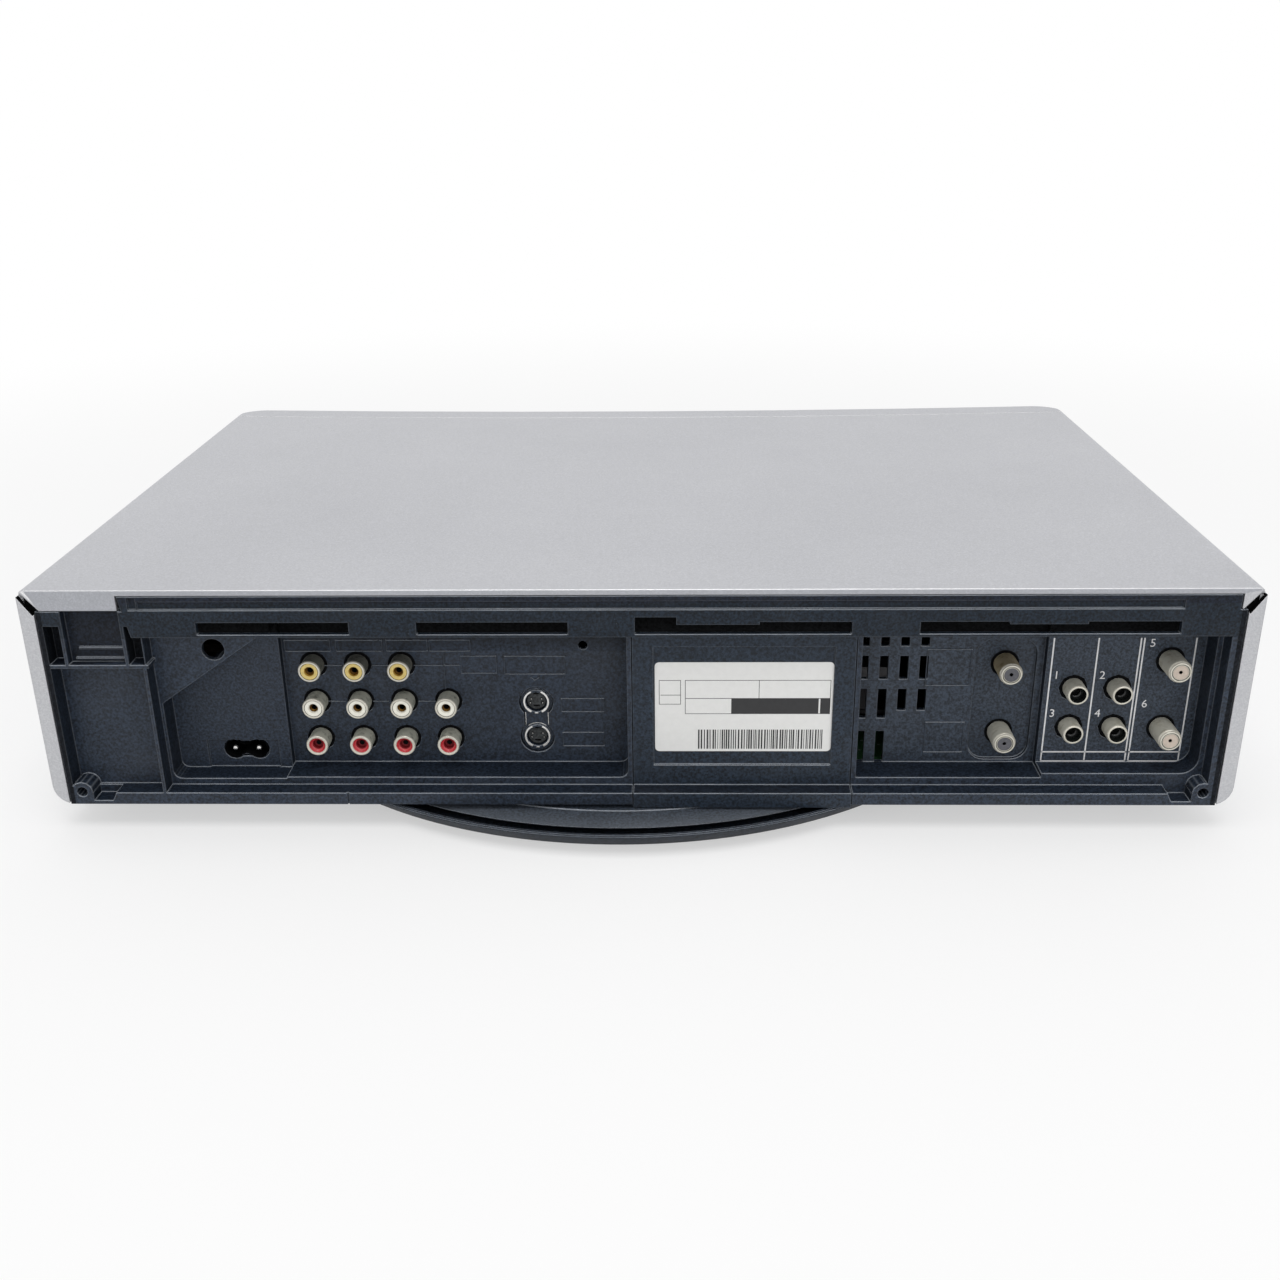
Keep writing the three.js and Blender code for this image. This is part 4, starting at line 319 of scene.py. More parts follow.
# Darker copies of the black plastic for pocket floors and sides: painted shade
BLACK_FLOOR_PAINTED_SHADE = casing("black_floor_painted_shade", (0.0115, 0.018, 0.03), 0.12, 0.6)
BLACK_SIDE_PAINTED_SHADE = casing("black_side_painted_shade", (0.0085, 0.013, 0.0215), 0.18, 0.55)
BLACK_SHADE = casing("black_slot", (0.0045, 0.006, 0.009), 0.1, 0.6, 0.0005)
# The deepest wall's top with the header's shadow painted on
BLACK_PAINTED_SHADOW = casing("black_wall_painted_shadow", (0.015, 0.0232, 0.0385), 0.26, fade=(0.063, 0.0695))
BASE = casing("base_plastic", (0.026, 0.034, 0.047), 0.38, dust=0.3, edge=0.0006)
RING = casing("ring_plastic", (0.014, 0.019, 0.028), 0.12, 0.55, 0.0006, dust=0.3)
BLACK_DEEP = moulded("black_shadow", (0.0018, 0.0021, 0.0026), (0.004, 0.004, 0.005), 0.7, dust=0.0,
                     shine=0.04)
BLACK_INSERT = moulded("black_insert", (0.010, 0.012, 0.014), (0.05, 0.05, 0.055), 0.42, 0.08, dust=0.2,
                       shine=0.3)
GREY_INSERT = moulded("grey_face", (0.030, 0.033, 0.035), (0.08, 0.08, 0.085), 0.5, 0.08, dust=0.3,
                      edge=0.0002, shine=0.3)
WHITE_PLASTIC = moulded("white_plastic", (0.74, 0.73, 0.69), (0.8, 0.8, 0.77), 0.42, 0.06, dust=0.1,
                        mottle=0.05)
# Darker grey for the cam gear: partly its own colour, partly painted shade inside the case
GEAR = moulded("gear_nylon", (0.20, 0.20, 0.19), (0.3, 0.3, 0.29), 0.45, 0.06, dust=0.1, mottle=0.05)
IVORY = cup("ivory_plastic", (0.70, 0.68, 0.60), (0.78, 0.76, 0.7), 0.05, 0.4, edge=0.00045)
YELLOW = cup("yellow_insert", (0.68, 0.52, 0.17), (0.8, 0.66, 0.3), 0.08)
CREAM = cup("cream_insert", (0.90, 0.85, 0.73), (0.92, 0.88, 0.8), 0.04)
RED = cup("red_insert", (0.50, 0.035, 0.045), (0.64, 0.2, 0.18), 0.1, 0.25)
# Deep red and amber inner rings of the red and yellow cups: painted shade deeper in the cup
DARK_RED = cup("dark_red_insert", (0.15, 0.006, 0.010), (0.35, 0.05, 0.05), 0.1, 0.5, 0.05, shine=0.2)
AMBER = cup("amber_insert", (0.44, 0.25, 0.035), (0.6, 0.4, 0.12), 0.1)
DIELECTRIC = cup("grey_insert", (0.085, 0.086, 0.098), (0.18, 0.18, 0.19), 0.15, 0.5, 0.2)
PALE_DIELECTRIC = cup("pale_insert", (0.52, 0.44, 0.37), (0.6, 0.52, 0.45), 0.06, 0.5, 0.15, 0.00045)
NICKEL = plated("nickel_plate", (0.66, 0.635, 0.565), (0.30, 0.27, 0.21), 0.32, 0.6)
PALE_NICKEL = plated("pale_nickel", (0.60, 0.585, 0.505), (0.36, 0.33, 0.25), 0.5, 0.75, metallic=0.3)
TAN_NICKEL = plated("tan_nickel", (0.40, 0.34, 0.22), (0.22, 0.165, 0.085), 0.5, 0.8, metallic=0.3)
# Barrels darkened by dust and stains, and also as painted shade
DUSTY_NICKEL_PAINTED_SHADE = plated("dusty_nickel_painted_shade", (0.51, 0.51, 0.435), (0.075, 0.075, 0.06), 0.55, 0.9, metallic=0.25)
# Pale plated rims at the sockets' fronts: a painted reflection on the edge
RIM = plated("pale_rim", (0.66, 0.635, 0.555), (0.46, 0.43, 0.35), 0.34, 0.4, metallic=0.45)
# Nickel painted dark: the header's shadow on the top row of jacks, and shade in grooves
NICKEL_PAINTED_SHADE = plated("nickel_painted_shade", (0.17, 0.17, 0.145), (0.03, 0.03, 0.025), 0.55, 0.9, metallic=0.25)
GOLD = plated("contact_plate", (0.20, 0.11, 0.03), (0.07, 0.04, 0.015), 0.4, 0.6)
PIN = plated("pin_plate", (0.75, 0.74, 0.72), (0.4, 0.38, 0.35), 0.22, 0.3)
PIN_PAINTED_SHADE = plated("pin_painted_shade", (0.045, 0.045, 0.045), (0.02, 0.02, 0.02), 0.3, 0.4)
CHROME = plated("bright_steel", (0.82, 0.82, 0.83), (0.6, 0.6, 0.6), 0.12, 0.15)
BORE = polished("dark_bore", (0.010, 0.012, 0.011), 0.12)
SMOKED = polished("smoked_window", (0.010, 0.011, 0.013), 0.06, Transmission_Weight=0.3,
                  Specular_IOR_Level=0.3)
SHEET = zinc_sheet("zinc_sheet", (0.30, 0.31, 0.32))
# Dark sheet for the mechanism deck: painted shade inside the case
DARK_SHEET = zinc_sheet("dark_sheet", (0.055, 0.055, 0.058))
STEEL = brushed("steel", (0.52, 0.53, 0.54))
TURNED = brushed("turned_aluminium", (0.78, 0.79, 0.80), 0.22, (3000, 3000, 60))
CAN_STEEL = brushed("motor_can", (0.10, 0.10, 0.105), 0.4)
LAMINATION = brushed("lamination", (0.33, 0.30, 0.27), 0.45, (60, 2600, 60))
BOARD = lacquered_board("lacquered_board", (0.025, 0.11, 0.045), (0.09, 0.26, 0.10))
RUBBER = rubbery("rubber", (0.02, 0.02, 0.022))
SLEEVE = printed("capacitor_sleeve", (0.018, 0.022, 0.045), 0.85, 0.35)
LABEL = printed("label_film", (0.80, 0.80, 0.785), 0.96, 0.3)
INK = printed("black_ink", (0.022, 0.022, 0.024), 0.8)
WHITE_INK = printed("white_ink", (0.82, 0.82, 0.83), 0.82)
GLOW = printed("display_segment", (0.30, 0.55, 0.52), 0.9, Emission_Color=(0.35, 0.85, 0.78, 1.0),
               Emission_Strength=0.45)

# Buttons, with the place and size of the sign on each
KEYS = {
    "eject": (122.55, 75.5, 3.6), "power": (189.2, 75.5, 4.4), "rewind": (115.0, 52.0, 3.8),
    "play": (135.5, 52.0, 3.4), "fast_forward": (155.9, 52.0, 3.8), "stop": (176.3, 52.0, 3.0),
    "record": (196.7, 52.0, 3.2),
}
CAD_LOOKS = (
    (SILVER, "top_cover"),
    (SILVER_PLASTIC, "front_panel cassette_flap front_door " + " ".join(key + "_button" for key in KEYS)),
    (BLACK, "rear_housing front_jack_block mains_inlet s_video_block"),
    (BLACK_PLATE, "centre_plate"),
    (BASE, "base_ring base_disc"),
    (NICKEL, "jack_column_1 jack_column_2 jack_column_3 jack_column_4"),
    (NICKEL, "decoder_jack_column_1 decoder_jack_column_2"),
    (NICKEL, "aerial_in_socket aerial_out_socket satellite_in_socket satellite_out_socket"),
    (SHEET, "chassis_tray left_holder_bracket right_holder_bracket"),
    (SHEET, "tuner_can satellite_tuner_can holder_carriage cassette_holder swivel_retainer"),
    (DARK_SHEET, "mechanism_deck"),
    (BOARD, "main_board power_board front_board display_module"),
    (LAMINATION, "power_transformer"),
    (STEEL, "control_head erase_head pinch_arm tension_arm"),
    (CAN_STEEL, "loading_motor"),
    (TURNED, "lower_drum upper_drum"),
    (CHROME, "capstan_flywheel supply_guide_post take_up_guide_post"),
    (WHITE_PLASTIC, "supply_reel_table take_up_reel_table"),
    (GEAR, "cam_gear"),
    (RUBBER, "pinch_roller anti_slip_ring"),
    (SMOKED, "display_window"),
)
for material, names in CAD_LOOKS:
    for name in names.split():
        nodes[name].data.materials.clear()
        nodes[name].data.materials.append(material)


# Mesh helpers: everything is built in millimetres in the row frame
def spot(x, depth, z):
    return Vector((x, REAR_Y - depth, z + BODY_Z))


def soften(bm, angle, rounder=()):
    bm.normal_update()
    for face in bm.faces:
        face.smooth = True
    for edge in bm.edges:
        limit = angle
        for x, z, reach, wider in rounder:
            middle = (edge.verts[0].co + edge.verts[1].co) / 2
            if math.hypot(middle.x - x, middle.z - z) < reach:
                limit = wider
        edge.smooth = len(edge.link_faces) == 2 and edge.calc_face_angle(4.0) < math.radians(limit)


# Makes a piece from a mesh in millimetres
def add_piece(name, bm, materials, body, replaced):
    bmesh.ops.scale(bm, vec=(MM, MM, MM), verts=bm.verts)
    mesh = bpy.data.meshes.new(name)
    bm.to_mesh(mesh)
    bm.free()
    for material in materials:
        mesh.materials.append(material)
    piece = new_object(name, mesh)
    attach(piece, body)
    if replaced:
        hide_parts(*replaced)
    return piece


def finish_piece(name, bm, materials, replaced=(), body="chassis", angle=35.0):
    bmesh.ops.remove_doubles(bm, verts=bm.verts, dist=1e-4)
    bmesh.ops.recalc_face_normals(bm, faces=bm.faces)
    soften(bm, angle)
    add_piece(name, bm, materials, body, replaced)


# A turned form: profile points are (radius, distance along the axis), with a material index of
# their own where it isn't the given one.
def turn_profile(bm, profile, centre, axis=(0, 1, 0), sides=40, index=0):
    axis = Vector(axis).normalized()
    u = axis.orthogonal().normalized()
    v = axis.cross(u)
    rings = []
    profile = [(*point, index)[:3] for point in profile]
    for radius, along, _ in profile:
        middle = Vector(centre) + axis * along
        if radius < 1e-6:
            rings.append([bm.verts.new(middle)])
            continue
        ring = []
        for i in range(sides):
            a = 2 * math.pi * i / sides
            ring.append(bm.verts.new(middle + (u * math.cos(a) + v * math.sin(a)) * radius))
        rings.append(ring)
    for k in range(len(rings) - 1):
        low, high = rings[k], rings[k + 1]
        for i in range(sides):
            j = (i + 1) % sides
            if len(low) == 1:
                face = bm.faces.new((low[0], high[i], high[j]))
            elif len(high) == 1:
                face = bm.faces.new((low[i], low[j], high[0]))
            else:
                face = bm.faces.new((low[i], low[j], high[j], high[i]))
            face.material_index = profile[k + 1][2]


def block(bm, x0, x1, y0, y1, z0, z1, index=0, bevel=0.0):
    made = bmesh.ops.create_cube(bm, size=1.0)["verts"]
    bmesh.ops.scale(bm, vec=(x1 - x0, y1 - y0, z1 - z0), verts=made)
    bmesh.ops.translate(bm, vec=((x0 + x1) / 2, (y0 + y1) / 2, (z0 + z1) / 2), verts=made)
    for face in {f for v in made for f in v.link_faces}:
        face.material_index = index
    if bevel > 0:
        edges = {e for v in made for e in v.link_edges}
        bmesh.ops.bevel(bm, geom=list(edges), offset=bevel, segments=2, affect="EDGES", profile=0.7)


def from_tip(length, rows):
    return [(radius, length - drop, *index) for radius, drop, *index in rows]


# A flat outline in X and Z given thickness along Y, between two depths.
def slab(bm, outline, y0, y1, index=0):
    low = [bm.verts.new((x, y0, z)) for x, z in outline]
    high = [bm.verts.new((x, y1, z)) for x, z in outline]
    faces = [bm.faces.new(low), bm.faces.new(high[::-1])]
    count = len(outline)
    for i in range(count):
        j = (i + 1) % count
        faces.append(bm.faces.new((low[j], low[i], high[i], high[j])))
    for face in faces:
        face.material_index = index


# Points on an arc in X and Z, whose ends are given in degrees
def arc(x, z, radius, start, end, steps):
    turns = [math.radians(start + (end - start) * i / steps) for i in range(steps + 1)]
    return [(x + radius * math.cos(turn), z + radius * math.sin(turn)) for turn in turns]


def rounded_outline(x0, x1, z0, z1, radius):
    points = []
    for x, z, start in ((x1 - radius, z0 + radius, -90), (x1 - radius, z1 - radius, 0),
                        (x0 + radius, z1 - radius, 90), (x0 + radius, z0 + radius, 180)):
        points += arc(x, z, radius, start, start + 90, 6)
    return points


def box(x0, x1, z0, z1):
    return [(x0, z0), (x1, z0), (x1, z1), (x0, z1)]


# A raised line round a rectangle, as moulded or printed frames are.
def frame_lines(bm, x0, x1, z0, z1, width, y0, y1, index=0):
    block(bm, x0, x1, y0, y1, z0, z0 + width, index)
    block(bm, x0, x1, y0, y1, z1 - width, z1, index)
    block(bm, x0, x0 + width, y0, y1, z0 + width, z1 - width, index)
    block(bm, x1 - width, x1, y0, y1, z0 + width, z1 - width, index)


def cut(bm, place, normal):
    everything = bm.verts[:] + bm.edges[:] + bm.faces[:]
    bmesh.ops.bisect_plane(bm, geom=everything, plane_co=place, plane_no=normal, dist=1e-3)


# What a zone's test asks about a face: its middle, its normal and its highest point
class Look:
    def __init__(self, face):
        self.x, self.y, self.z = face.calc_center_median()
        self.normal = face.normal
        self.top = max(vert.co.z for vert in face.verts)


# Smooth copies of CAD nodes whose rounded edges show. A zone gives its faces another material,
# and the last zone that takes a face keeps it.
def smoothed(node, material, body="chassis", angle=28.0, cuts=(), zones=(), rounding=None,
             shape=None, rounder=()):
    bm = bmesh.new()
    bm.from_mesh(nodes[node].data)
    bmesh.ops.scale(bm, vec=(1 / MM, 1 / MM, 1 / MM), verts=bm.verts)
    bmesh.ops.remove_doubles(bm, verts=bm.verts, dist=2e-3)
    bmesh.ops.recalc_face_normals(bm, faces=bm.faces)
    if shape is not None:
        bm.normal_update()
        shape(bm)
    for place, normal in cuts:
        cut(bm, place, normal)
    bm.normal_update()
    for face in bm.faces:
        look = Look(face)
        face.material_index = 0
        for number, (inside, _) in enumerate(zones, 1):
            if inside(look):
                face.material_index = number
    materials = [material] + [other for _, other in zones]
    bmesh.ops.dissolve_limit(bm, angle_limit=math.radians(0.5), verts=bm.verts, edges=bm.edges,
                             delimit={"MATERIAL"})
    if rounding is not None:
        # Bevelled edges take their own material; on the cover it is a painted highlight
        chosen, width, edge_material = rounding
        edges = [edge for edge in bm.edges if chosen(edge)]
        made = bmesh.ops.bevel(bm, geom=edges, offset=width, segments=4, affect="EDGES", profile=0.5,
                               clamp_overlap=True)
        for face in made["faces"]:
            face.material_index = len(materials)
        materials.append(edge_material)
        bmesh.ops.dissolve_degenerate(bm, edges=bm.edges[:], dist=1e-3)
    soften(bm, angle, rounder)
    piece = add_piece(node + "_smooth", bm, materials, body, [node])
    piece.modifiers.new("flats", "WEIGHTED_NORMAL").keep_sharp = True


HEADER_LOW = 66.3 + BODY_Z
HEADER_STEP = 78.6 + BODY_Z
WALL_FADE = 63.0
WALL_DEPTHS = (18.9, 15.6, 9.3, 7.6)
PLATE_DEPTH = 6.6
FRAME_SIDE = 207.45


# The header rail shades what lies behind it, deeper parts further down
def header_shade(depth):
    return HEADER_LOW - (depth - 2.2) * 0.42 + 0.2


def behind_header(f):
    depth = REAR_Y - f.y
    return f.z > header_shade(depth) and depth > 2.25 and -206.0 < f.x < 170.0


# Zones in the order in which they are laid
HOUSING_ZONES = (
    # sides of the pockets, painted darker as shade
    (lambda f: abs(f.normal.x) > 0.6 and f.z < HEADER_LOW and f.y < REAR_Y - 0.8, BLACK_SIDE_PAINTED_SHADE),
    # floor of the pockets, painted darker as shade
    (lambda f: f.normal.z > 0.6 and f.z < 40.0 and f.y > 120.0, BLACK_FLOOR_PAINTED_SHADE),
    # top of the deepest wall, with the header's shadow painted on, darker towards the top
    (lambda f: f.z > WALL_FADE and f.y < REAR_Y - 17.0 and 3.6 < f.x < 129.9, BLACK_PAINTED_SHADOW),
    # wall round the aerial and satellite sockets, in more light
    (lambda f: -203.5 < f.x < -80.0 and REAR_Y - 21.5 < f.y < REAR_Y - 14.0 and f.normal.y > 0.6,
     BLACK_LIT),
    # painted shade: near-black behind the header rail
    (behind_header, BLACK_DEEP),
    # face of the header rail
    (lambda f: HEADER_LOW - 0.4 < f.z < HEADER_STEP and f.y > REAR_Y - 2.3, BLACK_RAIL),
    # strip above the rail
    (lambda f: f.z > HEADER_STEP and f.y > REAR_Y - 1.2 and f.normal.y > 0.5, BLACK_LEDGE),
    # cable nook, painted darker as shade in the recess
    (lambda f: 174.0 < f.x < 207.5 and f.z > 64.4 and f.y < REAR_Y - 1.6, BLACK_NOOK_PAINTED_SHADE),
    # slots beside the nook
    (lambda f: (201.0 < f.x < 207.6 or 173.4 < f.x < 179.2) and f.z > 56.0 + BODY_Z
     and f.y < REAR_Y - 1.25, BLACK_SHADE),
    # outer edge of the frame
    (lambda f: abs(f.x) > FRAME_SIDE and f.y > REAR_Y - 1.6, BLACK_SHADE),
)


def rear_top_edge(edge):
    return all(v.co.y > REAR_Y - 0.1 and v.co.z > 93.9 for v in edge.verts)


def lip_end(f):
    return f.z > 84.0 and f.normal.x * f.x > 100.0 and f.normal.z < -0.4


def side_end(f):
    return f.z > 84.0 and f.normal.x * f.x < -100.0 and f.normal.z > 0.5


COVER_ZONES = (
    # rear lip of the sides, a lighter copy of the paint as painted light, and of the top, a darker copy as
    # painted shade
    (lambda f: abs(f.x) > 209.0 and f.y > REAR_Y - 3.0 and f.normal.y > 0.3, SILVER_SIDE_PAINTED_LIGHT),
    (lambda f: f.y > REAR_Y - 0.5 and f.normal.y > 0.9 and abs(f.x) < 209.0, SILVER_LIP_PAINTED_SHADE),
    # mitred corners, painted near-black as shade in the gap
    (lambda f: f.y > REAR_Y - 14.0 and (lip_end(f) or side_end(f)), BLACK_DEEP),
)


# The lip's end and the side's end stand a narrow, even gap apart, as a mitred joint does.
def even_mitre(bm):
    cut(bm, (0, REAR_Y - 4.0, 0), (0, 1, 0))
    for vert in bm.verts:
        x, y, z = vert.co
        if abs(x) < 207.0 or y < REAR_Y - 3.6 or z > 92.5:
            continue
        looks = [Look(face) for face in vert.link_faces]
        if any(lip_end(look) for look in looks):
            vert.co.x = math.copysign(214.6 - (93.9 - z) * 0.93, x)
        elif any(side_end(look) for look in looks):
            vert.co.z += max(0.0, abs(x) - 210.0) * 0.42


# A near-black filler behind the mitred corners: painted shade in the gap
def mitre_filler():
    bm = bmesh.new()
    for side in (-1, 1):
        outline = [(208.0, 85.2), (210.2, 84.4), (213.8, 87.2), (213.9, 92.6), (212.6, 92.8), (207.2, 87.4)]
        slab(bm, [(side * x, z) for x, z in outline], REAR_Y - 3.9, REAR_Y - 2.4)
    finish_piece("mitre_filler", bm, [BLACK_DEEP])


smoothed("top_cover", SILVER, zones=COVER_ZONES, rounding=(rear_top_edge, 1.15, SILVER_PAINTED_HIGHLIGHT),
         shape=even_mitre)
mitre_filler()
smoothed("front_panel", SILVER_PLASTIC)
heights = [WALL_FADE, HEADER_LOW - 0.4, HEADER_STEP] + [header_shade(depth) for depth in WALL_DEPTHS]
side_cuts = [((x, 0, 0), (1, 0, 0)) for x in (-FRAME_SIDE, FRAME_SIDE)]
smoothed("rear_housing", BLACK, zones=HOUSING_ZONES,
         cuts=[((0, 0, z), UPWARD) for z in heights] + side_cuts,
         rounder=[(-204.4, 15.0, 4.7, 40.0), (204.4, 15.0, 4.7, 40.0)])
# The plate's sides and floors are painted darker as shade, and what lies behind the header near-black as
# its shadow
smoothed("centre_plate", BLACK_PLATE, cuts=[((0, 0, header_shade(PLATE_DEPTH)), UPWARD)],
         zones=[(lambda f: abs(f.normal.x) > 0.6 or f.normal.z > 0.6, BLACK_SIDE_PAINTED_SHADE),
                (behind_header, BLACK_DEEP)])

# Boards carry capacitors, heat sinks and sockets in other materials than the card
CARD_TOP = 15.8
smoothed("power_board", BOARD, angle=31.0,
         zones=[(lambda f: f.top > CARD_TOP, SLEEVE),
                (lambda f: f.normal.z > 0.9 and 30.0 < f.top < 50.0, TURNED),
                (lambda f: f.top > 52.0, BLACK_INSERT)])
smoothed("main_board", BOARD, zones=[(lambda f: f.top > CARD_TOP, BLACK_INSERT)])
smoothed("display_module", BOARD, zones=[(lambda f: f.y < -106.1, BORE)])
for name in ["cassette_flap", "front_door"] + [key + "_button" for key in KEYS]:
    smoothed(name, SILVER_PLASTIC, name)
smoothed("upper_drum", TURNED, "upper_drum", 40.0)
for name in ("supply_guide_post", "take_up_guide_post", "capstan_flywheel"):
    smoothed(name, CHROME, name, 40.0)
smoothed("lower_drum", TURNED, angle=40.0)


# The two round discs of the base, turned finely enough to look round
def base_round(name, profile, body, replaced, material):
    bm = bmesh.new()
    turn_profile(bm, profile, SWIVEL, UPWARD, 180)
    finish_piece(name, bm, [material], [replaced], body, 25.0)


base_round("swivel_ring", [
    (0.0, 1.0), (157.9, 1.0), (158.7, 1.3), (164.6, 7.3), (164.75, 7.8), (164.2, 8.25), (163.2, 8.3),
    (162.8, 8.1), (157.3, 3.0), (122.0, 3.0), (122.0, 4.4), (118.0, 4.4), (118.0, 3.0), (8.6, 3.0),
    (8.6, 10.3), (0.0, 10.3)], "base", "base_ring", RING)
base_round("swivel_disc", [
    (8.9, 7.0), (118.0, 7.0), (118.0, 4.7), (122.0, 4.7), (122.0, 7.0), (153.0, 7.0), (153.0, 5.4),
    (155.0, 5.4), (157.3, 7.1), (157.4, 7.4), (157.0, 7.6), (146.9, 8.0), (146.6, 8.1), (146.5, 8.35),
    (146.1, 8.4), (128.0, 8.4), (128.0, 9.9), (127.6, 10.0), (8.9, 10.0), (8.9, 7.0)],
    "chassis", "base_disc", BASE)


# Phono jacks: a plated shell, a pale rim and a coloured cup round the contact, with groove and hole painted
# near-black as shade
JACK_DEPTH = 18.9
PRINT_DEPTH = 15.6
JACK_LENGTH = JACK_DEPTH - 11.6
CUP_YELLOW, CUP_CREAM, CUP_RED = 1, 2, 3
# The red cup darkens inwards to a deep red and a near-black centre: painted shade in the cup
RED_CUP_TIP = (
    (3.25, 0.0, 7), (3.05, 0.1, 7), (2.98, 0.4, 7), (2.9, 0.45, 3), (2.7, 0.75, 3), (2.4, 1.25, 3),
    (2.05, 1.5, 3), (1.9, 1.52, 8), (1.75, 1.7, 8), (1.6, 2.4, 8), (1.5, 2.9, 8), (0.95, 3.0, 8),
    (0.85, 3.2, 5), (0.0, 3.3, 5),
)
CUP_LIP = ((3.12, 0.16), (3.0, 0.1), (2.4, 0.16), (1.85, 0.35))


def phono_jack(bm, x, z, cup_index):
    foot = spot(x, JACK_DEPTH, z)
    # The top row's shells take nickel painted dark as the header's shadow, and their cups a darker inner
    # ring as painted shade
    shell, deeper = (10, 9) if cup_index == CUP_YELLOW else (0, cup_index)
    tip = [(3.95, 1.0, shell), (4.08, 0.85, shell), (4.1, 0.5, 7), (4.0, 0.2, 7), (3.8, 0.0, 7)]
    if cup_index == CUP_RED:
        tip += RED_CUP_TIP
    else:
        tip += [(3.4, 0.0, 7), (3.28, 0.1, 7), (3.26, 0.4, 5), (3.14, 0.4, 5)]
        tip += [(radius, drop, cup_index) for radius, drop in CUP_LIP]
        tip += [(1.78, 0.6, deeper), (1.6, 1.1, deeper), (1.5, 1.3, 4), (1.0, 1.9, 4), (0.9, 2.0, 5),
                (0.85, 6.0, 5), (0.0, 6.0, 5)]
    turn_profile(bm, [(0.0, -3.0), (3.95, -3.0)] + from_tip(JACK_LENGTH, tip), foot)
    root_ring(bm, foot, 5.1, 5)


# A near-black ring at the root of a socket, painted shade for the round gap where it comes through the
# panel
def root_ring(bm, foot, radius, index):
    turn_profile(bm, [(3.7, -0.9), (3.7, 0.05), (radius - 0.1, 0.05), (radius, -0.05), (radius, -0.9),
                      (3.7, -0.9)], foot, index=index)


# Decoder jacks: plain plated collars round a dark polished bore
DECODER_LENGTH = PRINT_DEPTH - 8.5
DECODER_TIP = (
    (3.78, 0.9), (3.72, 0.45, 2), (3.5, 0.12, 2), (3.3, 0.0, 2), (3.08, 0.0, 2), (2.93, 0.14, 2),
    (2.86, 0.5, 1), (2.8, 2.6, 1), (2.45, 3.4, 1), (1.9, 3.8, 1), (1.7, 3.9, 1), (1.7, 7.0, 1),
    (0.0, 7.0, 1),
)


def decoder_jack(bm, x, z):
    foot = spot(x, PRINT_DEPTH, z)
    turn_profile(bm, [(0.0, -3.0), (3.78, -3.0)] + from_tip(DECODER_LENGTH, DECODER_TIP), foot)
    root_ring(bm, foot, 5.0, 4)


# A column of jacks with the moulded block behind them
def jack_column(name, replaced, x, jack, rows, depth, materials, block_index):
    bm = bmesh.new()
    for row in rows:
        jack(bm, x, *row)
    low = min(row[0] for row in rows) - 7.0 + BODY_Z
    high = max(row[0] for row in rows) + 6.5 + BODY_Z
    back = REAR_Y - depth - 2.3
    block(bm, x - 6, x + 6, back - 9, back, low, high, block_index, 0.4)
    finish_piece(name, bm, materials, [replaced])


PHONO_LOOKS = (DUSTY_NICKEL_PAINTED_SHADE, YELLOW, CREAM, RED, GOLD, BLACK_DEEP, IVORY, RIM, DARK_RED, AMBER, NICKEL_PAINTED_SHADE)
for number, column in enumerate((118.94, 102.71, 86.45, 70.09), 1):
    rows = [(48.0, CUP_YELLOW), (33.2, CUP_CREAM), (18.1, CUP_RED)]
    if number == 4:
        del rows[0]
    jack_column("phono_jacks_%d" % number, "jack_column_%d" % number, column, phono_jack, rows,
                JACK_DEPTH, PHONO_LOOKS, 6)
for number, column in enumerate((-158.09, -174.0), 1):
    jack_column("decoder_jacks_%d" % number, "decoder_jack_column_%d" % number, column, decoder_jack,
                [(39.8,), (24.1,)], PRINT_DEPTH, (PALE_NICKEL, BORE, RIM, IVORY, BLACK_DEEP), 3)


# Aerial and satellite sockets: finely ridged barrels with a stepped face and a pin hole; the face's groove
# is painted dark and the pin hole near-black, as shade
RIDGE_PITCH = 0.8
F_TIP = (
    (4.1, 2.3), (4.1, 2.1), (4.2, 2.0), (4.2, 1.1), (4.05, 0.75, 1), (3.85, 0.6, 1),
    (3.8, 0.35, 1), (3.65, 0.08, 1), (3.45, 0.0, 1), (3.25, 0.0, 1), (3.16, 0.1, 1), (3.14, 0.36, 4),
    (2.86, 0.36, 4), (2.84, 0.12, 1), (2.68, 0.12, 1), (2.62, 0.3, 2), (0.85, 0.3, 2), (0.62, 0.5, 2),
    (0.58, 0.8, 3), (0.58, 6.0, 3), (0.0, 6.0, 3),
)


def f_socket(name, x, z, depth, length, shell, core):
    bm = bmesh.new()
    foot = spot(x, depth, z)
    profile = [(0.0, -2.3), (4.1, -2.3), (4.1, 0.6)]
    along = 0.9
    while along + RIDGE_PITCH < length - 2.4:
        profile += [(4.1, along), (4.17, along + RIDGE_PITCH * 0.4), (4.17, along + RIDGE_PITCH * 0.6)]
        along += RIDGE_PITCH
    turn_profile(bm, profile + from_tip(length, F_TIP), foot)
    root_ring(bm, foot, 5.2, 3)
    finish_piece(name + "_detail", bm, [shell, RIM, core, BLACK_DEEP, NICKEL_PAINTED_SHADE], [name])


f_socket("aerial_in_socket", -133.9, 47.42, 20.4, 10.9, TAN_NICKEL, DIELECTRIC)
f_socket("aerial_out_socket", -133.9, 19.87, 20.4, 10.9, PALE_NICKEL, DIELECTRIC)
f_socket("satellite_in_socket", -191.65, 50.58, 15.6, 11.3, PALE_NICKEL, PALE_DIELECTRIC)
f_socket("satellite_out_socket", -191.65, 23.74, 15.6, 11.3, PALE_NICKEL, PALE_DIELECTRIC)


